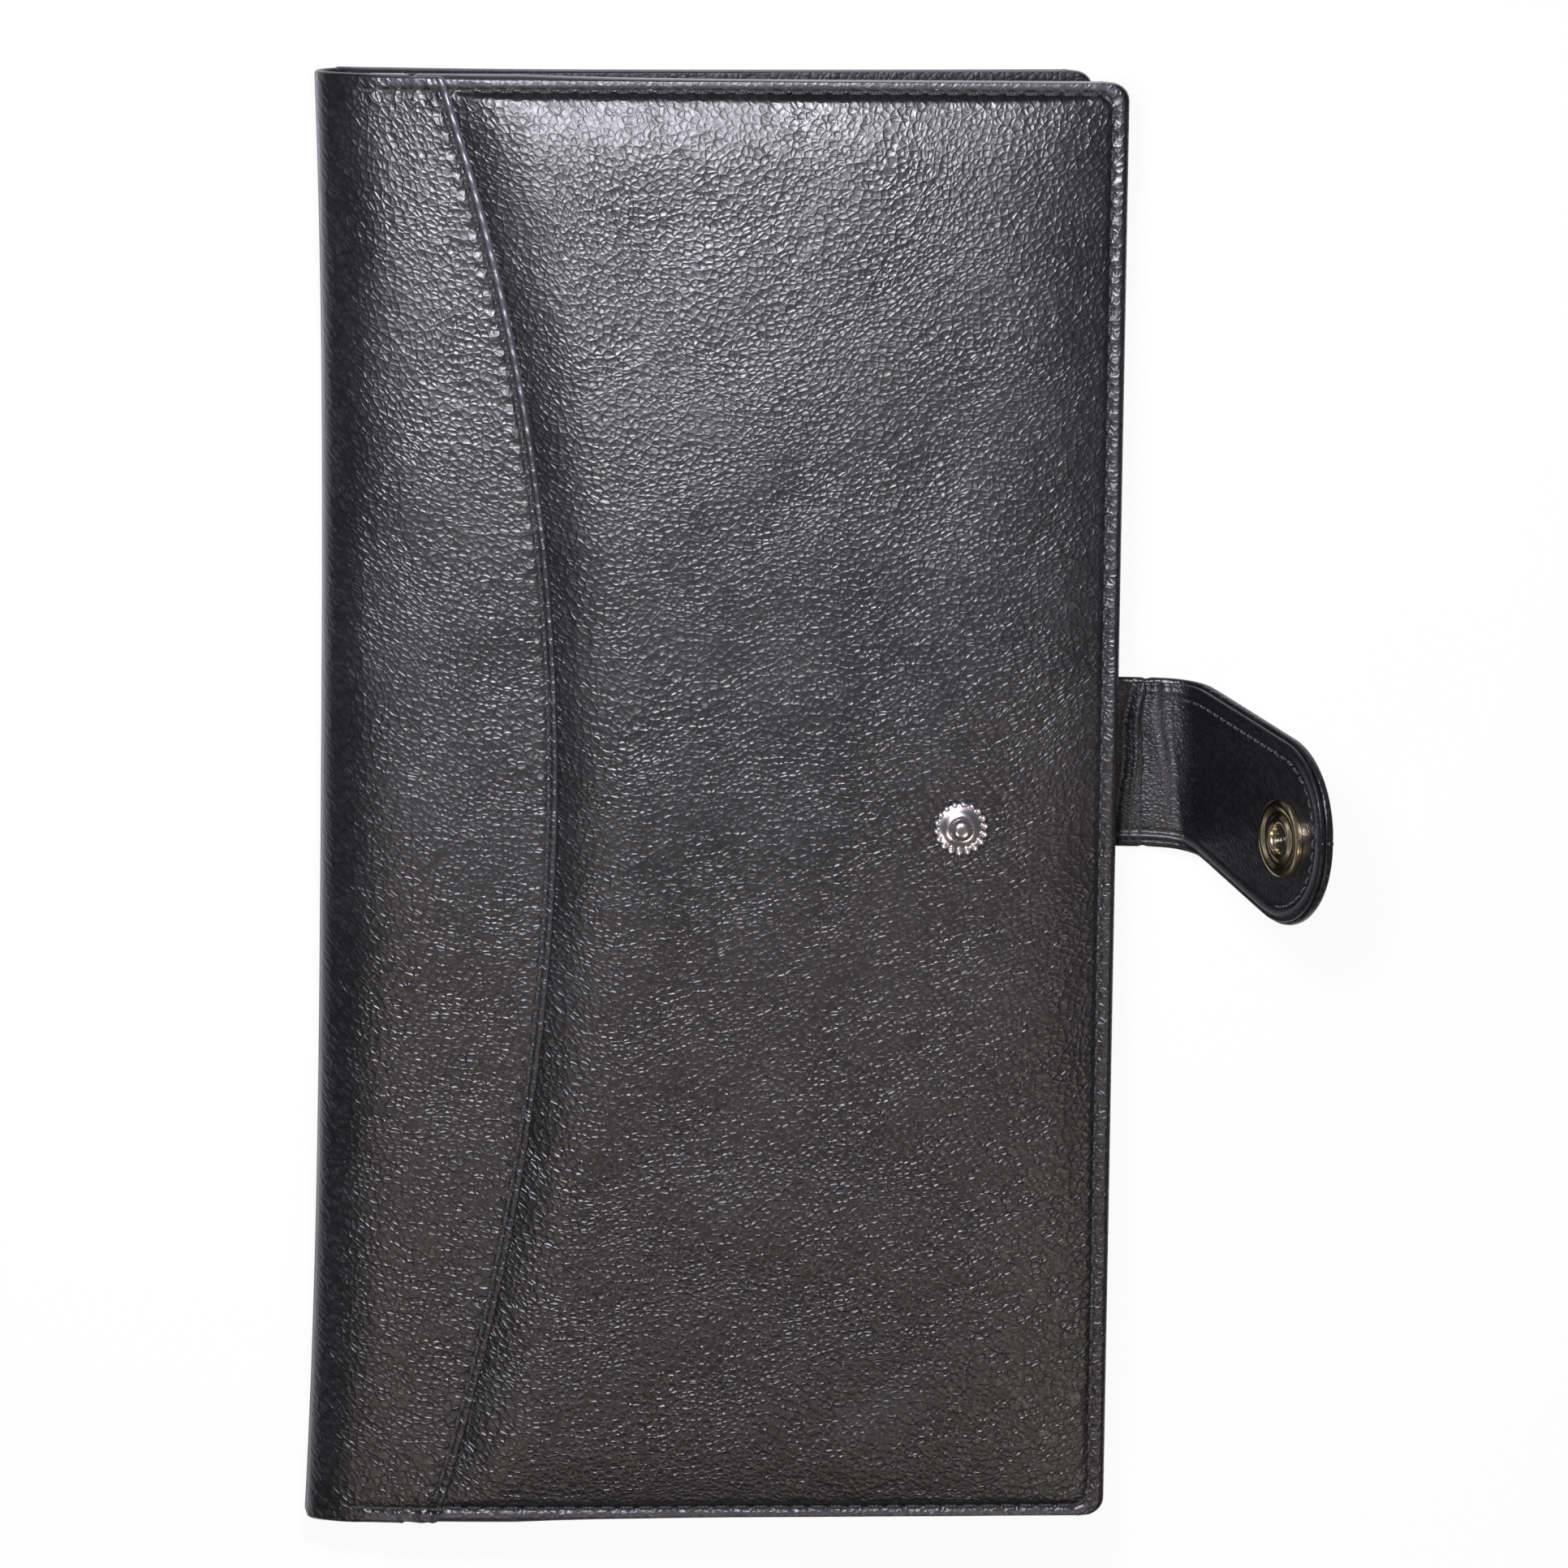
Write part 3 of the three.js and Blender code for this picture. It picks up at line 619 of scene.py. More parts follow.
def back_hide():
    outer_rows, inner_rows = [], []
    rise = np.linspace(roll_radius, mid_spine, 5)[1:]
    for y in rows_between(half_height - edge_reach, back_rows):
        centre = np.array([spine_x + roll_radius + spine_shift(y), roll_radius])
        fore = fore_edge(back_fore, y)
        x = stations(centre[0], (fore - 5, 70), (fore, 20))
        inside = smoothstep(fore - x, 0, 9) * smoothstep(half_height - abs(y), 2, 11)
        sag = (0.25 + 0.12 * waves(x, y, 38, 3.0)) * inside * smoothstep(x - centre[0], 0, 9) * 0.6
        core = leather + (cover_core - leather) * smoothstep(x - centre[0], 0.5, 4)
        core = core + turned_rise * turned_edge(x, y, back_fore)
        sides = ((outer_rows, sag, roll_radius), (inner_rows, core, roll_radius - leather))
        for found, level, radius in sides:
            path = (joined(x, level)[::-1], roll_points(centre, radius), joined(centre[0] - radius, rise))
            found.append(lay(np.concatenate(path), y))
    piece = skin("back_hide", np.array(outer_rows), np.array(inner_rows), edge_reach, square_column=-1)
    dress(piece, back_finish)
    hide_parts("back_leather", "back_board")
    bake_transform(piece)


# Upper half of the spine and the front cover's spine panel

roll_reach = 19.0  # how far in the front leather starts to fall to the spine
roll_fall = spine_height - mid_spine
roll_fullness = 2.3
skin_reach = 0.6  # how far this leather's rounded edge stands out


def spine_drop(x, y):
    """How far the leather has sunk towards the spine: a full, squarish quarter round."""
    share = np.clip(1 - (x - spine_x - spine_shift(y)) / roll_reach, 0, 1)
    return roll_fall * (1 - (1 - share**roll_fullness) ** (1 / roll_fullness))


def lap_rise(x, y):
    """The spine panel's rise towards the front panel's edge, which it laps over."""
    rise = skived + layer_gap + 0.1 - (leather - skived)
    start = spine_x + roll_radius + 6
    share = np.clip((x - start) / (seam_x(y) - lap_width / 2 - start), 0, 1)
    return rise * share**1.5


def overlay_top(x, y):
    """Outer level of the spine panel: falling to the roll, and up over the front panel's edge."""
    return spine_height + lap_rise(x, y) - spine_drop(x, y)


def overlay_low(x, y):
    start = seam_x(y) - lap_width
    return core_low + (spine_height - leather + skived + layer_gap - core_low) * smoothstep(
        x, start - 0.8, start
    )


def stitch_groove(distance, along, width=0.6, depth=0.26, puff=0.07):
    """The leather pulled down along a line of stitches, deepest at the holes between them, and
    swelling a little to both sides of each stitch."""
    wave = np.cos(2 * math.pi * along / stitch_pitch)
    groove = depth * (0.72 + 0.28 * wave) * bell(distance, width)
    return -groove - puff * wave * bell(np.abs(distance) - 1.2, 0.7)


def border_place(x, y):
    """Distance to the front panel's perimeter stitching, and along its nearest straight side."""
    to_end = half_height - border_inset - np.abs(y)
    to_fore = front_fore - border_inset - x
    both = (to_end < corner_radius) & (to_fore < corner_radius)
    rounded = corner_radius - np.hypot(corner_radius - to_end, corner_radius - to_fore)
    distance = np.where(both, rounded, np.minimum(to_end, to_fore))
    return distance, np.where(np.abs(to_end) < np.abs(to_fore), x, y)


def crumple(x, y, seed):
    """The soft, slightly uneven surface of a used hide."""
    broad = 0.30 * waves(x, y, 36, seed) + 0.13 * waves(x, y, 15, seed + 5)
    return broad + 0.03 * waves(x * 1.7, y, 4.2, seed + 9)


def spine_panel_relief(x, y):
    """Crumple and stitch grooves of the spine panel."""
    inside = smoothstep(x - spine_x - spine_shift(y), 3, 9)
    relief = crumple(x, y, 1.0) * inside
    relief += stitch_groove(seam_x(y) - seam_inset - x, y, width=0.45, depth=0.22)
    relief += 0.1 * bell(seam_x(y) - 0.5 - x, 0.5, 4)
    end_groove = stitch_groove(half_height - border_inset - np.abs(y), x)
    return relief + end_groove * smoothstep(seam_x(y) - x, 0, 1) * inside


def front_hide():
    """The spine's upper half, rolled over and on to the lapped edge of the front cover."""
    turn = np.linspace(0, math.pi / 2, 30)[:-4]
    roll_across = 1 - np.cos(turn) ** (2 / roll_fullness)
    roll_up = np.sin(turn) ** (2 / roll_fullness)
    outer_rows, inner_rows, highlight_and_rub_rows = [], [], []
    for y in rows_between(half_height - skin_reach, front_rows)[::-1]:
        left = spine_x + spine_shift(y)
        roll_x = left + roll_reach * roll_across
        edge = seam_x(y) - skived / 2
        flat_x = stations(roll_x[-1] + 0.3, (edge - 6, 50), (edge, 30))
        x = np.concatenate([roll_x, flat_x])
        round_over = mid_spine + roll_fall * roll_up + lap_rise(roll_x, y)
        level = np.concatenate([round_over, overlay_top(flat_x, y)]) + spine_panel_relief(x, y)
        outer = joined(x, y, level)
        slope = np.gradient(outer[:, [0, 2]], axis=0)
        slope /= np.linalg.norm(slope, axis=1, keepdims=True)
        inner = outer.copy()
        inner[:, 0] += leather * slope[:, 1]
        inner[:, 2] -= leather * slope[:, 0]
        filled = smoothstep(x - left, 5, 8)
        inner[:, 0] += (x - inner[:, 0]) * filled
        inner[:, 2] += (overlay_low(x, y) - inner[:, 2]) * filled
        low = core_low - turned_rise * turned_edge(x, y, front_fore)
        on_cover = (filled > 0.99) & (inner[:, 2] < core_low + 0.01)
        inner[:, 2] = np.where(on_cover, low, inner[:, 2])
        outer_rows.append(ease_open(outer, left))
        inner_rows.append(ease_open(inner, left))
        # Painted highlight along the lapped edge, strongest towards the top where the light catches it; the
        # top and bottom edges are paled too, partly rubbing and partly their painted highlight.
        strip = bell(seam_x(y) - 0.5 - x, 0.52, 4) * (0.1 + 0.9 * smoothstep(y, 35, 95))
        rim = bell(max(0, half_height - 1.3 - abs(y)), 0.45, 4) * smoothstep(x - left, 6, 12)
        highlight_and_rub_rows.append(np.maximum(strip, 0.5 * rim))
    grids = [np.array(found) for found in (outer_rows, inner_rows, highlight_and_rub_rows)]
    piece = skin("front_hide", grids[0], grids[1], skin_reach, grids[2], square_column=0)
    dress(piece, leather_finish)
    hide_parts("spine_leather", "front_spine_panel")
    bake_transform(piece)


def ease_open(points, left):
    """Opens a row of points by the gape, growing from the spine to the end of its round corner."""
    along = np.array([roll_radius, roll_radius])
    flat = points[:, [0, 2]] - np.array([left, spine_height - roll_radius])
    share = smoothstep((flat @ along) / (along @ along), 0, 1)
    return points + (open_front(points) - points) * share[:, None]


# The padded front panel

crease_place = (27, -93)
crease_turn = math.radians(38)


def panel_relief(x, y):
    """Grooves, crumple and the soft diagonal crease of the front panel."""
    relief = crumple(x, y, 2.0) * smoothstep(x - seam_x(y), 0, 6)
    relief += stitch_groove(*border_place(x, y), depth=0.34, puff=0.012)
    to_fore = front_fore - border_inset - x
    hollow = bell(to_fore, np.where(to_fore > 0, 4.5, 2.2))
    relief -= 0.32 * hollow * smoothstep(y, -75, -30) * smoothstep(y, 85, 50)
    cos, sin = heading(crease_turn)
    dx, dy = x - crease_place[0], y - crease_place[1]
    relief -= 0.3 * bell(dx * sin - dy * cos, 3.2) * bell(dx * cos + dy * sin, 18)
    return relief - 0.25 * bell(np.hypot(x - stud_x, y - stud_y), 5.5)


def front_panel():
    outer_rows, inner_rows, highlight_and_rub_rows = [], [], []
    for y in rows_between(half_height - edge_reach, front_rows)[::-1]:
        start = seam_x(y) - lap_width + layer_gap + 0.5
        fore = fore_edge(front_fore, y)
        x = stations(start, (seam_x(y) + 12, 40), (fore - 8, 130), (fore, 34))
        outer_rows.append(joined(x, y, panel_top(x, y) + panel_relief(x, y)))
        low = core_low - turned_rise * turned_edge(x, y, front_fore)
        inner_rows.append(joined(x, y, low))
        # The strip outside the perimeter stitching is paled, more at the top and bottom than at the
        # fore-edge: partly rubbing, partly its painted highlight.
        highlight_and_rub_values = np.where(front_fore - x < half_height - abs(y), 0.1, 0.6)
        highlight_and_rub_rows.append(highlight_and_rub_values * bell(border_place(x, y)[0] + 1.15, 0.5, 4))
    outer, inner = open_front(outer_rows), open_front(inner_rows)
    piece = skin("front_panel_hide", outer, inner, edge_reach, np.array(highlight_and_rub_rows))
    dress(piece, leather_finish)
    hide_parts("front_panel", "front_padding", "front_board")
    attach(piece, "front_cover")


# Stitching


def front_level(x, y):
    """The front cover's outer level at one point."""
    if x < seam_x(y) - 0.2:
        return float(overlay_top(x, y) + spine_panel_relief(x, y))
    return float(panel_top(x, y) + panel_relief(x, y))


def walk(points, pitch):
    """Evenly spaced places along a line of points, with the line's direction at each."""
    points = np.asarray(points, float)
    length = np.concatenate([[0], np.cumsum(np.hypot(*np.diff(points, axis=0).T))])
    count = int(length[-1] / pitch)
    offset = (length[-1] - count * pitch) / 2

    def at(distance):
        return np.array([np.interp(distance, length, points[:, i]) for i in (0, 1)])

    found = []
    for k in range(count):
        middle = offset + (k + 0.5) * pitch
        step = at(middle + 0.4) - at(middle - 0.4)
        found.append((at(middle), step / np.hypot(*step)))
    return found


def stitch(here, direction, level, up=1.0):
    """One stitch: it comes out of its hole, lies along the groove and goes down again."""
    half = ((-0.5, -0.35), (-0.44, 0.02), (-0.25, 0.2), (0, 0.26))
    strand = []
    for along, rise in half + tuple((-along, rise) for along, rise in half[-2::-1]):
        x, y = here + direction * along * stitch_length
        strand.append((x, y, level + up * rise))
    return strand


def border_line(left, fore):
    """The perimeter line from the spine along the bottom, up the fore-edge and back along the top."""
    right, end = fore - border_inset, half_height - border_inset
    turn_x, turn_y = right - corner_radius, end - corner_radius
    low = [(x, -end) for x in np.linspace(left, turn_x, 60)]
    turn = [
        (turn_x + corner_radius * math.cos(a), turn_y + corner_radius * math.sin(a))
        for a in np.linspace(0, math.pi / 2, 8)
    ]
    turn_low = [(x, -y) for x, y in turn[::-1]]
    side = [(right, y) for y in np.linspace(-turn_y, turn_y, 100)]
    return low + turn_low + side + turn + [(x, end) for x, _ in low[::-1]]


def row_of(line, level, up=1.0):
    """Stitches along a line of points. The level may be a rule for each place."""
    strands = []
    for here, direction in walk(line, stitch_pitch):
        height = level(*here) if callable(level) else level
        strands.append(stitch(here, direction, height, up))
    return strands


def sew(name, strands, body, thickness, sides=6):
    """Threads that ride on one body."""
    piece = dress(tubes(name, strands, thickness, sides), stitch_finish)
    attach(piece, body)


def cover_stitches():
    y = np.linspace(-half_height + border_inset, half_height - border_inset, 200)
    seam = joined(seam_x(y) - seam_inset, y)
    border = border_line(spine_x + roll_radius + 1.5, front_fore)
    strands = row_of(seam, front_level) + row_of(border, front_level)
    strands += row_of(border, core_low - turned_rise, -1.0)
    sew("front_stitching", [open_front(strand) for strand in strands], "front_cover", thread, 8)
    border = border_line(spine_x + roll_radius + 2.5, back_fore)
    strands = row_of(border, 0.32, -1.0) + row_of(border, cover_core + turned_rise - 0.05)
    sew("back_stitching", strands, "back_cover", thread, 8)


# Linings and pockets


def flat_panel(
    node, body, left, right, bottom, top, level, seed,
    thickness=pocket_leather, ripple=0.05, columns=60, rows=70,
):
    """A thin sheet on a cover, which ripples a little. Left may be a rule for each share of the
    height, top one for each X, and level one for each point."""
    share_u = np.linspace(0, 1, columns)
    outer, inner = [], []
    for v in np.linspace(0, 1, rows):
        x_left = left(v) if callable(left) else left
        x = x_left + (right - x_left) * share_u
        y = bottom + ((top(x) if callable(top) else top) - bottom) * v + 0 * x
        edge = np.minimum(smoothstep(share_u, 0, 0.1), smoothstep(1 - share_u, 0, 0.1))
        base = (level(x, y) if callable(level) else level) + ripple * waves(x, y, 24, seed) * edge
        outer.append(joined(x, y, base + thickness))
        inner.append(joined(x, y, base))
    outer, inner = np.array(outer), np.array(inner)
    if body == "front_cover":
        outer, inner = open_front(outer), open_front(inner)
    if node.endswith("lining"):
        piece = dress(skin(node + "_cloth", outer, inner), lining_finish)
    else:
        piece = dress(skin(node + "_hide", outer, inner), pocket_finish)
    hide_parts(node)
    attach(piece, body)


pocket_spine_inset = 11.0
pocket_fore_inset = 3.0
pocket_edge_inset = 3.0
ticket_top = 62.0
ticket_dip = 5.0
passport_top = 3.0
notch_radius = 11.0
slip_spine_inset = 24.0
slip_bow = 7.0
slot_top = 101.0
slot_step = 15.0
slot_height = 22.0
slot_width = 92.0
slot_fore_inset = 5.0
slot_count = 4

ticket_low = back_lining_low + lining + layer_gap
slip_high = lining_top - lining - layer_gap
slots_low = slip_high - layer_gap - 2 * pocket_leather
slot_right = front_fore - slot_fore_inset
slot_slope = (pocket_leather + layer_gap) / slot_step
slot_tops = [slot_top - number * slot_step for number in range(slot_count)]
pocket_left = spine_x + pocket_spine_inset
pocket_right = back_fore - pocket_fore_inset
pocket_bottom = -half_height + pocket_edge_inset


def slot_level(y, top):
    """The low side of the card slot with its mouth at top, which stands over the slot above."""
    return slots_low - slot_slope * (y - (top - slot_height))


def inside_pieces():
    lining_left = spine_x + roll_radius + spine_bow
    edge = turned_width + 0.1
    end = half_height - edge
    for node, fore, level, seed in (
        ("back_lining", back_fore, back_lining_low - 0.15, 11),
        ("front_lining", front_fore, lining_top - lining, 12),
    ):
        body = node.replace("lining", "cover")
        sides = (lining_left, fore - edge, -end, end)
        flat_panel(node, body, *sides, level, seed, thickness=lining + 0.15, ripple=0.03)

    rim = pocket_leather / 2
    middle = (pocket_left + pocket_right) / 2
    half_width = (pocket_right - pocket_left) / 2

    def ticket_mouth(x):
        return ticket_top - ticket_dip * (1 - ((x - middle) / half_width) ** 2) - rim

    def passport_mouth(x):
        return passport_top - np.sqrt(np.maximum(0, notch_radius**2 - (x - middle) ** 2)) - rim

    sides = (pocket_left + rim, pocket_right - rim, pocket_bottom + rim)
    passport_low = ticket_low + pocket_leather + layer_gap
    flat_panel("ticket_pocket", "back_cover", *sides, ticket_mouth, ticket_low, 13)
    flat_panel("passport_pocket", "back_cover", *sides, passport_mouth, passport_low, 14, columns=110)

    def slip_left(share):
        return spine_x + slip_spine_inset + rim + slip_bow * (1 - (2 * share - 1) ** 2)

    slip_end = half_height - pocket_edge_inset - rim
    sides = (slip_left, front_fore - pocket_fore_inset - rim, -slip_end, slip_end)
    flat_panel("slip_pocket", "front_cover", *sides, slip_high - pocket_leather, 15)
    for number, top in enumerate(slot_tops):
        sides = (slot_right - slot_width + rim, slot_right - rim, top - slot_height + rim, top - rim)
        level = lambda x, y, top=top: slot_level(y, top)
        node = f"card_slot_{number + 1}"
        flat_panel(node, "front_cover", *sides, level, 20 + number, ripple=0.03, rows=16)


def spine_cloth():
    levels = np.linspace(roll_radius, spine_height - roll_radius, 6)
    outer, inner = [], []
    for y in np.linspace(-half_height + lining_inset, half_height - lining_inset, 60):
        x = spine_x + spine_shift(y) + leather + 0.05
        outer.append(joined(x + lining + layer_gap, y, levels))
        inner.append(joined(x, y, levels))
    piece = skin("spine_lining_cloth", np.array(outer), np.array(inner))
    dress(piece, lining_finish)
    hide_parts("spine_lining")
    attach(piece, "spine")


def pocket_stitches():
    """Rows of stitches that hold the pockets to the linings."""
    left, right, bottom = pocket_left + 2, pocket_right - 2, pocket_bottom + 2
    level = ticket_low + 2 * pocket_leather + layer_gap - 0.05
    line = [(left, passport_top - 1), (left, bottom), (right, bottom), (right, passport_top - 1)]
    dense = np.concatenate([np.linspace(a, b, 40) for a, b in zip(line[:-1], line[1:])])
    sew("passport_pocket_stitching", row_of(dense, level), "back_cover", pocket_thread)

    strands = []
    for top in slot_tops:
        seen = slot_height if top == slot_tops[-1] else slot_step
        level = lambda x, y, top=top: slot_level(y, top) + 0.05
        for x in (slot_right - 1.6, slot_right - slot_width + 1.6):
            strands += row_of([(x, top - seen), (x, top - 1)], level, -1.0)
    base = slot_tops[-1] - slot_height + 1.2
    foot = [(slot_right - slot_width + 2, base), (slot_right - 2, base)]
    strands += row_of(foot, slots_low, -1.0)
    strands = [open_front(strand) for strand in strands]
    sew("card_slot_stitching", strands, "front_cover", pocket_thread)


# Tab

tab_bend = flap_angle - strap_angle
curl_tangent = curl_radius * math.tan(tab_bend / 2)
curl_start = strap_length - curl_tangent
curl_end = curl_start + curl_radius * tab_bend
flap_start = curl_end - curl_tangent  # the flap's fold, counted round the bend
tab_centre = flap_start + socket_distance - tab_end_setback
tab_stop = tab_centre + tab_end_radius


def tab_path(u):
    """The tab's middle line in X and Z at a length u from the strap's fold, with its direction.
    Below 0 it lies in the back cover; past the strap it bends round into the flap."""
    if u <= curl_start:
        place = strap_fold + u * heading(strap_angle if u > 0 else 0)
        return place, strap_angle * float(smoothstep(u, -2.5, 2.5))
    if u <= curl_end:
        angle = strap_angle + (u - curl_start) / curl_radius
        begin = strap_fold + curl_start * heading(strap_angle)
        centre = begin + curl_radius * heading(strap_angle + math.pi / 2)
        return centre + curl_radius * heading(angle - math.pi / 2), angle
    return flap_fold + (u - flap_start) * heading(flap_angle), flap_angle


def tab_width(u, inset=0.0):
    """The tab's lowest and highest Y at a length u, with the turns of the outline eased."""
    span = min(6.0, max(0.0, (tab_centre - u) / 2))
    return np.mean([tab_outline(u + shift * span, inset) for shift in np.linspace(-1, 1, 9)], axis=0)


def tab_outline(u, inset):
    """The same before its corners are eased."""
    radius = tab_end_radius - inset
    edges = []
    for corner, side in ((tab_y0 + inset, -1), (tab_y1 - inset, 1)):
        centre_y = tab_end_y - (tab_end_sag if side < 0 else 0)
        dx, dy = flap_start - tab_centre, corner - centre_y
        angle = math.atan2(dy, dx) - side * math.acos(radius / math.hypot(dx, dy))
        tangent_u, tangent_y = np.array([tab_centre, centre_y]) + radius * heading(angle)
        if u <= flap_start:
            edges.append(corner)
        elif u < tangent_u:
            share = (u - flap_start) / (tangent_u - flap_start)
            edges.append(corner + (tangent_y - corner) * share)
        else:
            reach = math.sqrt(max(0, radius**2 - (u - tab_centre) ** 2))
            edges.append(centre_y + side * reach)
    return edges


def tab_skin(name, u0, u1, lined, columns=64, rows=70):
    """A stretch of the tab's leather or lining: rows run along it and columns across it."""
    low, high, inset = -tab_half, -tab_half + tab_leather + 0.1, 0
    if lined:
        low, high, inset = tab_half - tab_lining - 0.12, tab_half, 0.5
    rim = (high - low) / 2
    share = np.linspace(0, 1, rows)
    if u1 == tab_stop:  # the round end, with its rows closer together
        u1 -= inset + rim
        share = np.sin(share * math.pi / 2)
    across = np.linspace(0, 1, columns)
    across = 0.35 * (np.sin((across - 0.5) * math.pi) * 0.5 + 0.5) + 0.65 * across
    outer, inner, painted_highlight_and_rub = [], [], []
    for u in u0 + (u1 - u0) * share:
        place, angle = tab_path(u)
        normal = heading(angle + math.pi / 2)
        y0, y1 = tab_width(u, inset + rim)
        y = y0 + (y1 - y0) * across
        lift = fold_creases(u, y) + tab_edge_line(u, y) if lined else 0 * y
        painted_highlight_and_rub.append(tab_painted_highlight(u, y) if lined else 0 * y)
        outer.append(lay(place + normal * (high + lift)[:, None], y))
        inner.append(joined(place[0] + normal[0] * low, y, place[1] + normal[1] * low))
    grids = [np.array(found).swapaxes(0, 1) for found in (outer, inner, painted_highlight_and_rub)]
    piece = skin(name, grids[0], grids[1], painted_highlight_and_rub=grids[2] if lined else None)
    if lined:
        return dress(piece, smooth_finish)
    return dress(piece, leather_finish)


# Folds across the strap: where each starts and ends along the tab, its width and its height
strap_folds = (
    (3.0, 1.4, 1.7, 0.3),
    (6.0, 3.6, 0.8, -0.5),
    (7.6, 5.6, 0.5, 0.25),
    (8.3, 8.2, 0.6, -0.4),
    (9.2, 13.0, 0.9, 0.45),
    (10.8, 15.4, 0.7, -0.3),
)


def fold_creases(u, y):
    """The soft folds across the strap near its root, and the fine wrinkles between them."""
    relief = 0.12 * waves(u * 1.6, y * 0.4, 3.0, 41.0) * bell(u - 6, 7)
    share = (tab_y1 - y) / (tab_y1 - tab_y0)
    wander = 0.6 * waves(u * 0.15, y, 7.0, 43.0)
    for first, last, width, height in strap_folds:
        line = first + (last - first) * share + wander
        fade = (0.75 + 0.5 * waves(line, y, 6.0, 47.0 + first)) * (1 - 0.55 * share)
        relief += height * fade * bell(u - line, width * (1 - 0.3 * share))
    return relief


def edge_line_place(u, y):
    """How far each point is from the tab's edge, and how strong the line beside the edge is."""
    low, high = tab_width(u)
    near = np.minimum(y - low, high - y)
    if u > tab_centre:
        middle = tab_end_y - np.where(y < stud_y, tab_end_sag, 0)
        near = np.minimum(near, tab_end_radius - np.hypot(u - tab_centre, y - middle))
    end_share = smoothstep(u, tab_centre, tab_stop - 3)
    strength = np.where(y < (low + high) / 2, 1.0, 0.25 + 0.5 * end_share)
    return near, strength


def tab_edge_line(u, y):
    """A raised line inside the tab's edge, strong below and round the end and faint above."""
    near, strength = edge_line_place(u, y)
    beside = bell(near - 2.8, 0.45) + bell(near - 1.2, 0.4)
    return (0.3 * bell(near - 2.0, 0.32) - 0.14 * beside) * strength


def tab_painted_highlight(u, y):
    """Painted highlight on the lining: the raised line and two folds are paled where they would catch the
    light.
    """
    near, strength = edge_line_place(u, y)
    line = 0.9 * strength**2 * bell(near - 2.0, 0.3)
    share = (tab_y1 - y) / (tab_y1 - tab_y0)
    wander = 0.5 * waves(u, y, 2.0, 51.0)
    # Painted highlight: a pale wedge and streak on the strap's folds.
    wedge = bell(u - 3.4 + 1.6 * share + wander, 2.4 * np.clip(1 - 1.6 * share, 0.2, 1), 4)
    wedge = wedge * (1 - smoothstep(share, 0.3, 0.7))
    streak = bell(u - 9.2 - 4.2 * share + wander, 0.8)
    streak = streak * smoothstep(share, 0.02, 0.2) * (1 - smoothstep(share, 0.5, 0.8))
    painted_highlight_tone = 0.34 * np.maximum(wedge, streak) * (0.8 + 0.5 * waves(u, y, 0.9, 53.0))
    return np.clip(np.maximum(line, painted_highlight_tone), 0, 1)


tab_stitch_inset = 3.0
tab_stitch_pitch = 2.1
tab_root = -12.0  # where the tab's leather starts inside the back cover
tab_lining_root = -1.4  # where its lining comes out of it


def tab_row(first, both):
    """Stitch places as (u, y) along the tab's upper edge and round its end, or both edges."""
    lengths = np.linspace(first, tab_centre, 60)
    radius = tab_end_radius - tab_stitch_inset
    line = [(u, tab_width(u, tab_stitch_inset)[1]) for u in lengths]
    for turn in np.linspace(math.pi / 2, -math.pi / 2, 40):
        middle = tab_end_y - (tab_end_sag if turn < 0 else 0)
        line.append((tab_centre + radius * math.cos(turn), middle + radius * math.sin(turn)))
    if both:
        line += [(u, tab_width(u, tab_stitch_inset)[0]) for u in lengths[::-1]]
    return line


def tab_stitching(name, line, side):
    """Stitches on the tab's inner side, or on its outer side, which is -1."""
    strands = []
    for here, direction in walk(line, tab_stitch_pitch):
        strand = []
        for along, rise in ((-0.5, -0.25), (-0.38, 0.04), (0, 0.16), (0.38, 0.04), (0.5, -0.25)):
            u, y = here + direction * along * tab_stitch_pitch * 0.74
            place, angle = tab_path(u)
            x, z = place + heading(angle + math.pi / 2) * side * (tab_half + rise)
            strand.append((x, y, z))
        strands.append(strand)
    return dress(tubes(name, strands, tab_thread), stitch_finish)


def tab_pieces():
    middle = strap_length / 2
    base = tab_skin("tab_base_hide", tab_root, middle, False, rows=40)
    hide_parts("tab_anchor", "strap_leather")
    base_lining = tab_skin("tab_base_lining", tab_lining_root, middle, True, rows=90)
    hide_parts("strap_lining")
    for piece in (base, base_lining):
        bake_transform(piece)

    flap = tab_skin("tab_flap_hide", middle, tab_stop, False)
    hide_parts("flap_leather")
    flap_lining = tab_skin("tab_flap_lining", middle, tab_stop, True, columns=110, rows=130)
    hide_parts("flap_lining")
    above = tab_stitching("tab_inner_stitching", tab_row(middle, False), 1)
    around = tab_stitching("tab_outer_stitching", tab_row(middle, True), -1)
    for piece in (flap, flap_lining, above, around):
        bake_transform(piece)


# Snap parts


def placed(place, angle):
    """A matrix in metres for a snap part at a place, on leather that rises at an angle."""
    return Matrix.Translation(Vector(place) * MM) @ Matrix.Rotation(-angle, 4, "Y")


stud_flange = 4.15
stud_height = 3.0
nub = 1.75
bead_count = 18
bead = 0.5


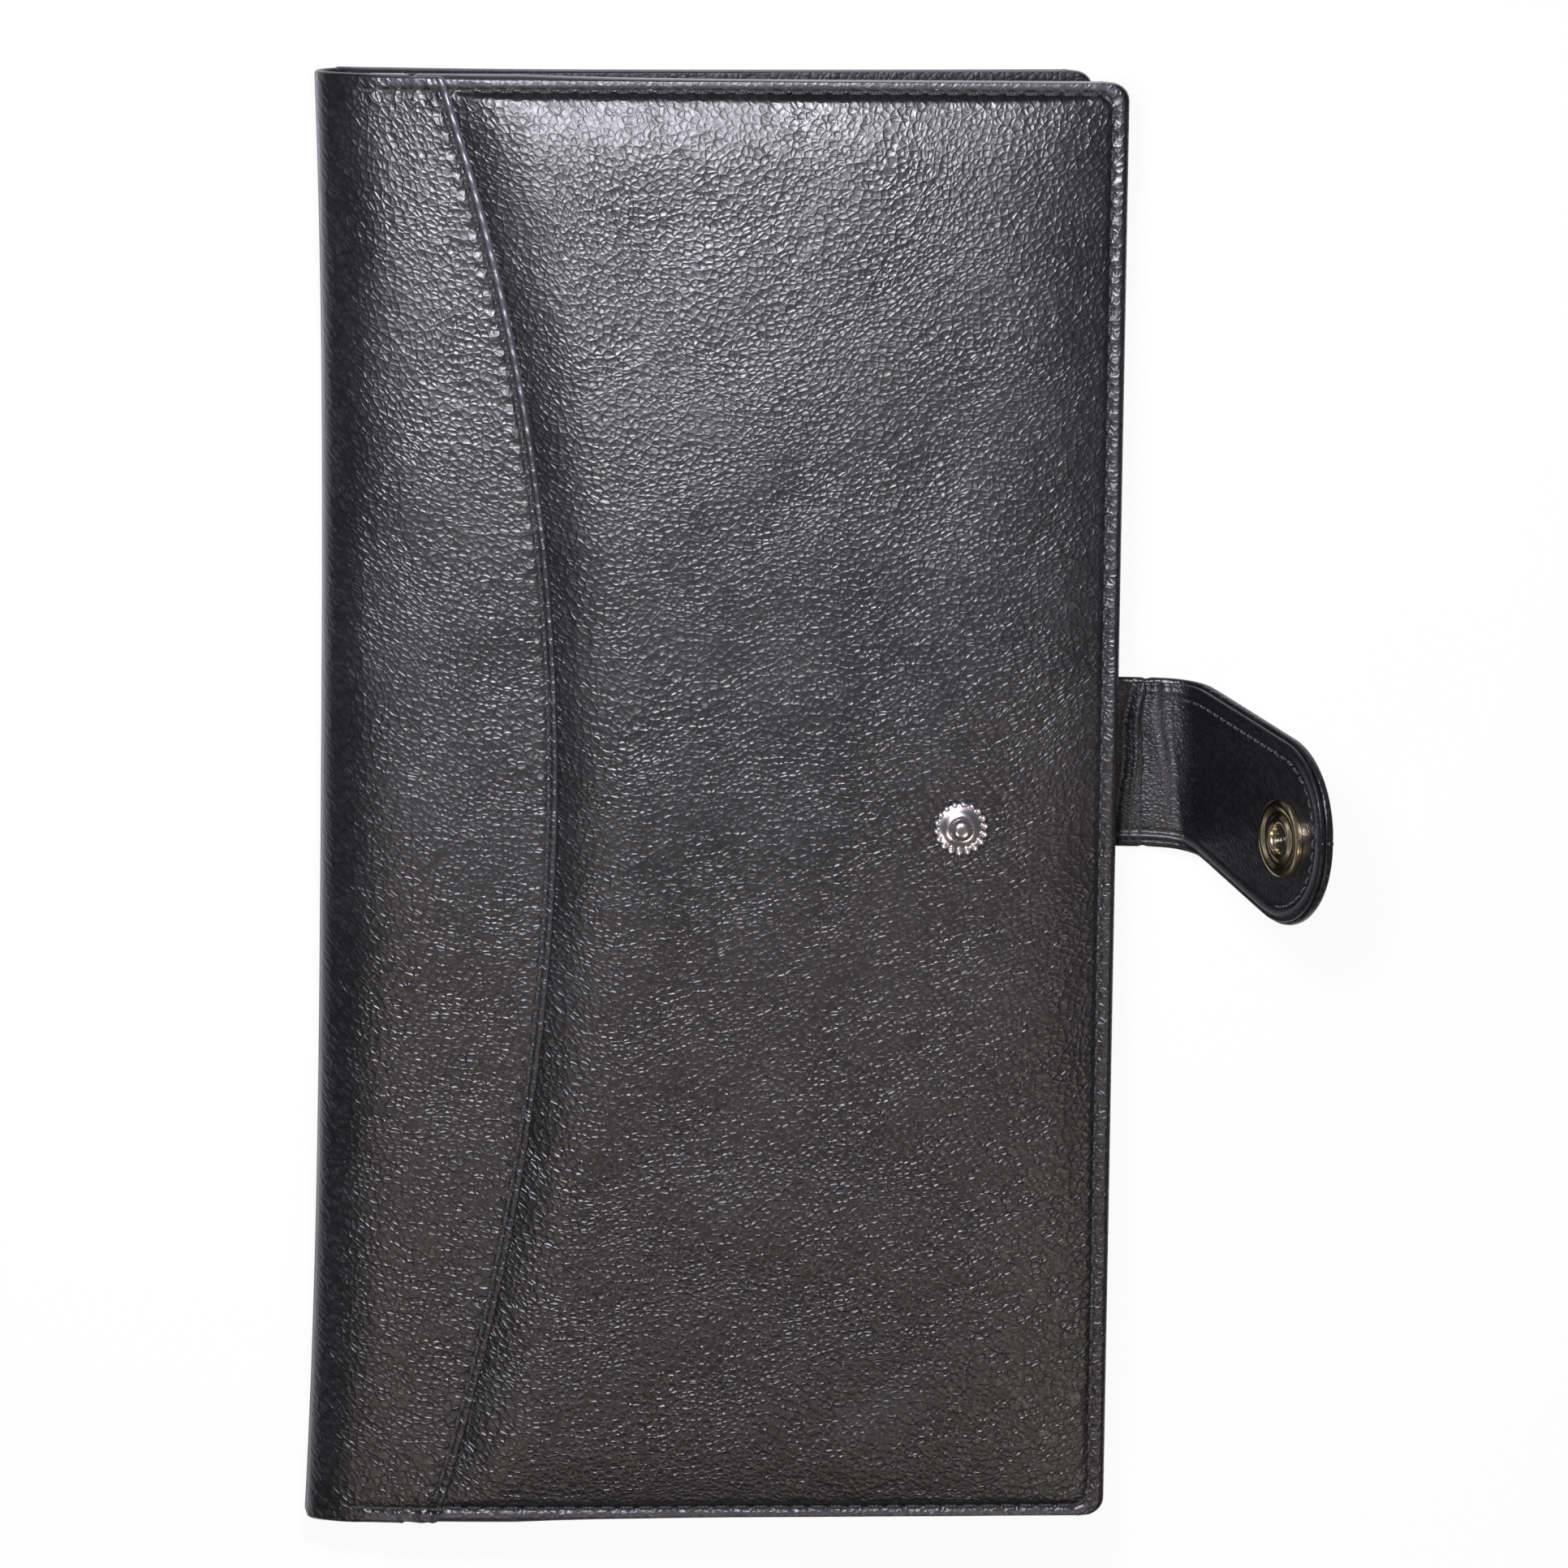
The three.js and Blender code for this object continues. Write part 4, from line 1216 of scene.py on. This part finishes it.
def stud():
    """The stud: a dished flange ringed with beads, and a round-headed nub on a short neck."""
    rim = layer_gap + 0.5
    neck = nub - 0.4
    profile = [
        (0, -1.6), (1.6, -1.6), (1.6, -0.4), (stud_flange - 0.5, -0.4), (stud_flange - 0.25, rim - 0.45),
        (stud_flange - 0.5, rim - 0.32), (stud_flange - 0.95, rim - 0.22), (stud_flange - 1.15, rim - 0.16),
        (stud_flange - 1.5, rim), (nub + 0.4, rim + 0.22), (nub + 0.1, rim + 0.26), (neck + 0.1, rim + 0.2),
        (neck, stud_height - 1.5), (nub - 0.15, stud_height - 1.2), (nub, stud_height - 0.95),
        (nub - 0.02, stud_height - 0.75), (nub - 0.16, stud_height - 0.45), (nub - 0.42, stud_height - 0.2),
        (nub - 0.8, stud_height - 0.05), (nub - 1.2, stud_height), (0, stud_height),
    ]
    place = placed(open_front([stud_x, stud_y, float(panel_top(stud_x, stud_y))]), gape)
    piece = turned("snap_stud_turned", profile, place)
    dress(piece, nickel_finish)
    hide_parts("snap_stud")
    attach(piece, "front_cover")

    ring = stud_flange - bead + 0.22
    turns = [math.pi * i / 8 for i in range(9)]
    ball = [(bead * math.sin(turn), -bead * math.cos(turn)) for turn in turns]
    vertices, faces = [], []
    for k in range(bead_count):
        x, y = ring * heading(2 * math.pi * (k + 0.3) / bead_count)
        add_turned(vertices, faces, ball, 14, (x, y, rim - 0.02))
    piece = make_mesh("snap_stud_beads", np.array(vertices), faces)
    piece.data.transform(place)
    dress(piece, bead_highlight_nickel_finish)
    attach(piece, "front_cover")


def socket():
    """The socket on the tab's inner side, and its cap on the outer side."""
    low = tab_half
    top = tab_half + layer_gap + 0.7
    profile = [
        (2.2, -0.2), (2.7, -0.2), (2.7, low - 0.1), (5.9, low - 0.1), (6.1, low + 0.1), (6.1, low + 0.45),
        (6.0, top - 0.22), (5.7, top - 0.04), (5.3, top), (4.9, top - 0.06), (4.5, top - 0.3),
        (4.1, top - 0.38), (3.7, top - 0.3), (3.3, top - 0.05), (2.95, top), (2.6, top - 0.06),
        (2.35, top - 0.25), (2.2, top - 0.5),
    ]
    x, z = flap_fold + socket_distance * heading(flap_angle)
    place = placed((x, stud_y, z), flap_angle)
    piece = turned("snap_socket_turned", profile, place)
    dress(piece, socket_finish)
    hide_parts("snap_socket")
    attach(piece, "tab_flap")

    seat = -tab_half + 0.05
    cap = [(6.4 * math.sin(s * math.pi / 18), seat - 1.6 + 1.3 * (s / 9) ** 2.2) for s in range(10)]
    cap += [(6.45, seat - 0.12), (6.3, seat), (0, seat)]
    piece = turned("snap_cap_turned", cap, place)
    dress(piece, nickel_finish)
    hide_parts("snap_cap")
    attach(piece, "tab_flap")


# CAD nodes that stay


def cad_finishes():
    for name, finish in (("stud_eyelet", nickel_finish), ("socket_spring", spring_finish)):
        mesh = frame["nodes"][name].data
        places = np.array([v.co for v in mesh.vertices], np.float32) / MM
        mark(mesh, "rest_place", "FLOAT_VECTOR", "vector", places)
        mesh.materials.clear()
        mesh.materials.append(finish)


# Floor, world and lights


def studio():
    size = 3.0
    mesh = bpy.data.meshes.new("floor")
    low = -0.0004
    square = [(-size, -size, low), (size, -size, low), (size, size, low), (-size, size, low)]
    mesh.from_pydata(square, [], [(0, 1, 2, 3)])
    floor = add_object("floor", mesh)
    n = Nodes(bpy.data.materials.new("floor_finish"))
    n.set(Base_Color=(0.86, 0.86, 0.86), Roughness=0.9, Specular_IOR_Level=0.1)
    path = n.add("ShaderNodeLightPath")
    glow = n.add("ShaderNodeEmission", {"Color": (1, 1, 1), "Strength": 1.0})
    seen = n.maths("MULTIPLY", path.outputs["Is Camera Ray"], 0.94)
    inputs = {"Fac": seen, 1: n.shader.outputs[0], 2: glow.outputs[0]}
    blend = n.add("ShaderNodeMixShader", inputs)
    output = [node for node in n.tree.nodes if node.type == "OUTPUT_MATERIAL"][0]
    n.feed(output.inputs["Surface"], blend.outputs[0])
    mesh.materials.append(n.material)

    world = bpy.data.worlds.new("world")
    bpy.context.scene.world = world
    light_world(Nodes(world, "Background"))

    lamp("key", (-0.053, 0.152, 0.4), (-0.03, 0.1, 0), 0.1, 2.7, (0.91, 0.90, 1.0))
    lamp("left_fill", (-0.15, -0.21, 0.4), (0, -0.07, 0), 0.1, 0.23, (1.0, 0.84, 0.7))
    lamp("right_fill", (0.15, -0.21, 0.4), (0, -0.07, 0), 0.1, 0.28, (1.0, 0.84, 0.7))


def light_world(n):
    """White to the camera, a soft grey in metal, and a little light on the object."""
    path = n.add("ShaderNodeLightPath").outputs
    strength = 0.06
    for ray, share in (("Camera", 0.94), ("Glossy", 0.05), ("Transmission", 0.94)):
        strength = n.maths("MULTIPLY_ADD", path[f"Is {ray} Ray"], share, strength)
    n.set(Color=(0.98, 0.98, 1.0), Strength=strength)


def lamp(name, place, target, size, power, colour):
    data = bpy.data.lights.new(name, "AREA")
    data.shape = "SQUARE"
    data.size = size
    data.energy = power
    data.color = colour
    light = add_object(name, data)
    light.location = place
    light.rotation_mode = "QUATERNION"
    light.rotation_quaternion = (Vector(target) - Vector(place)).to_track_quat("-Z", "Y")


for build in (
    make_camera, back_hide, front_hide, front_panel, cover_stitches, inside_pieces,
    spine_cloth, pocket_stitches, tab_pieces, stud, socket, cad_finishes, studio,
):
    build()
bpy.context.scene.view_settings.view_transform = "Standard"
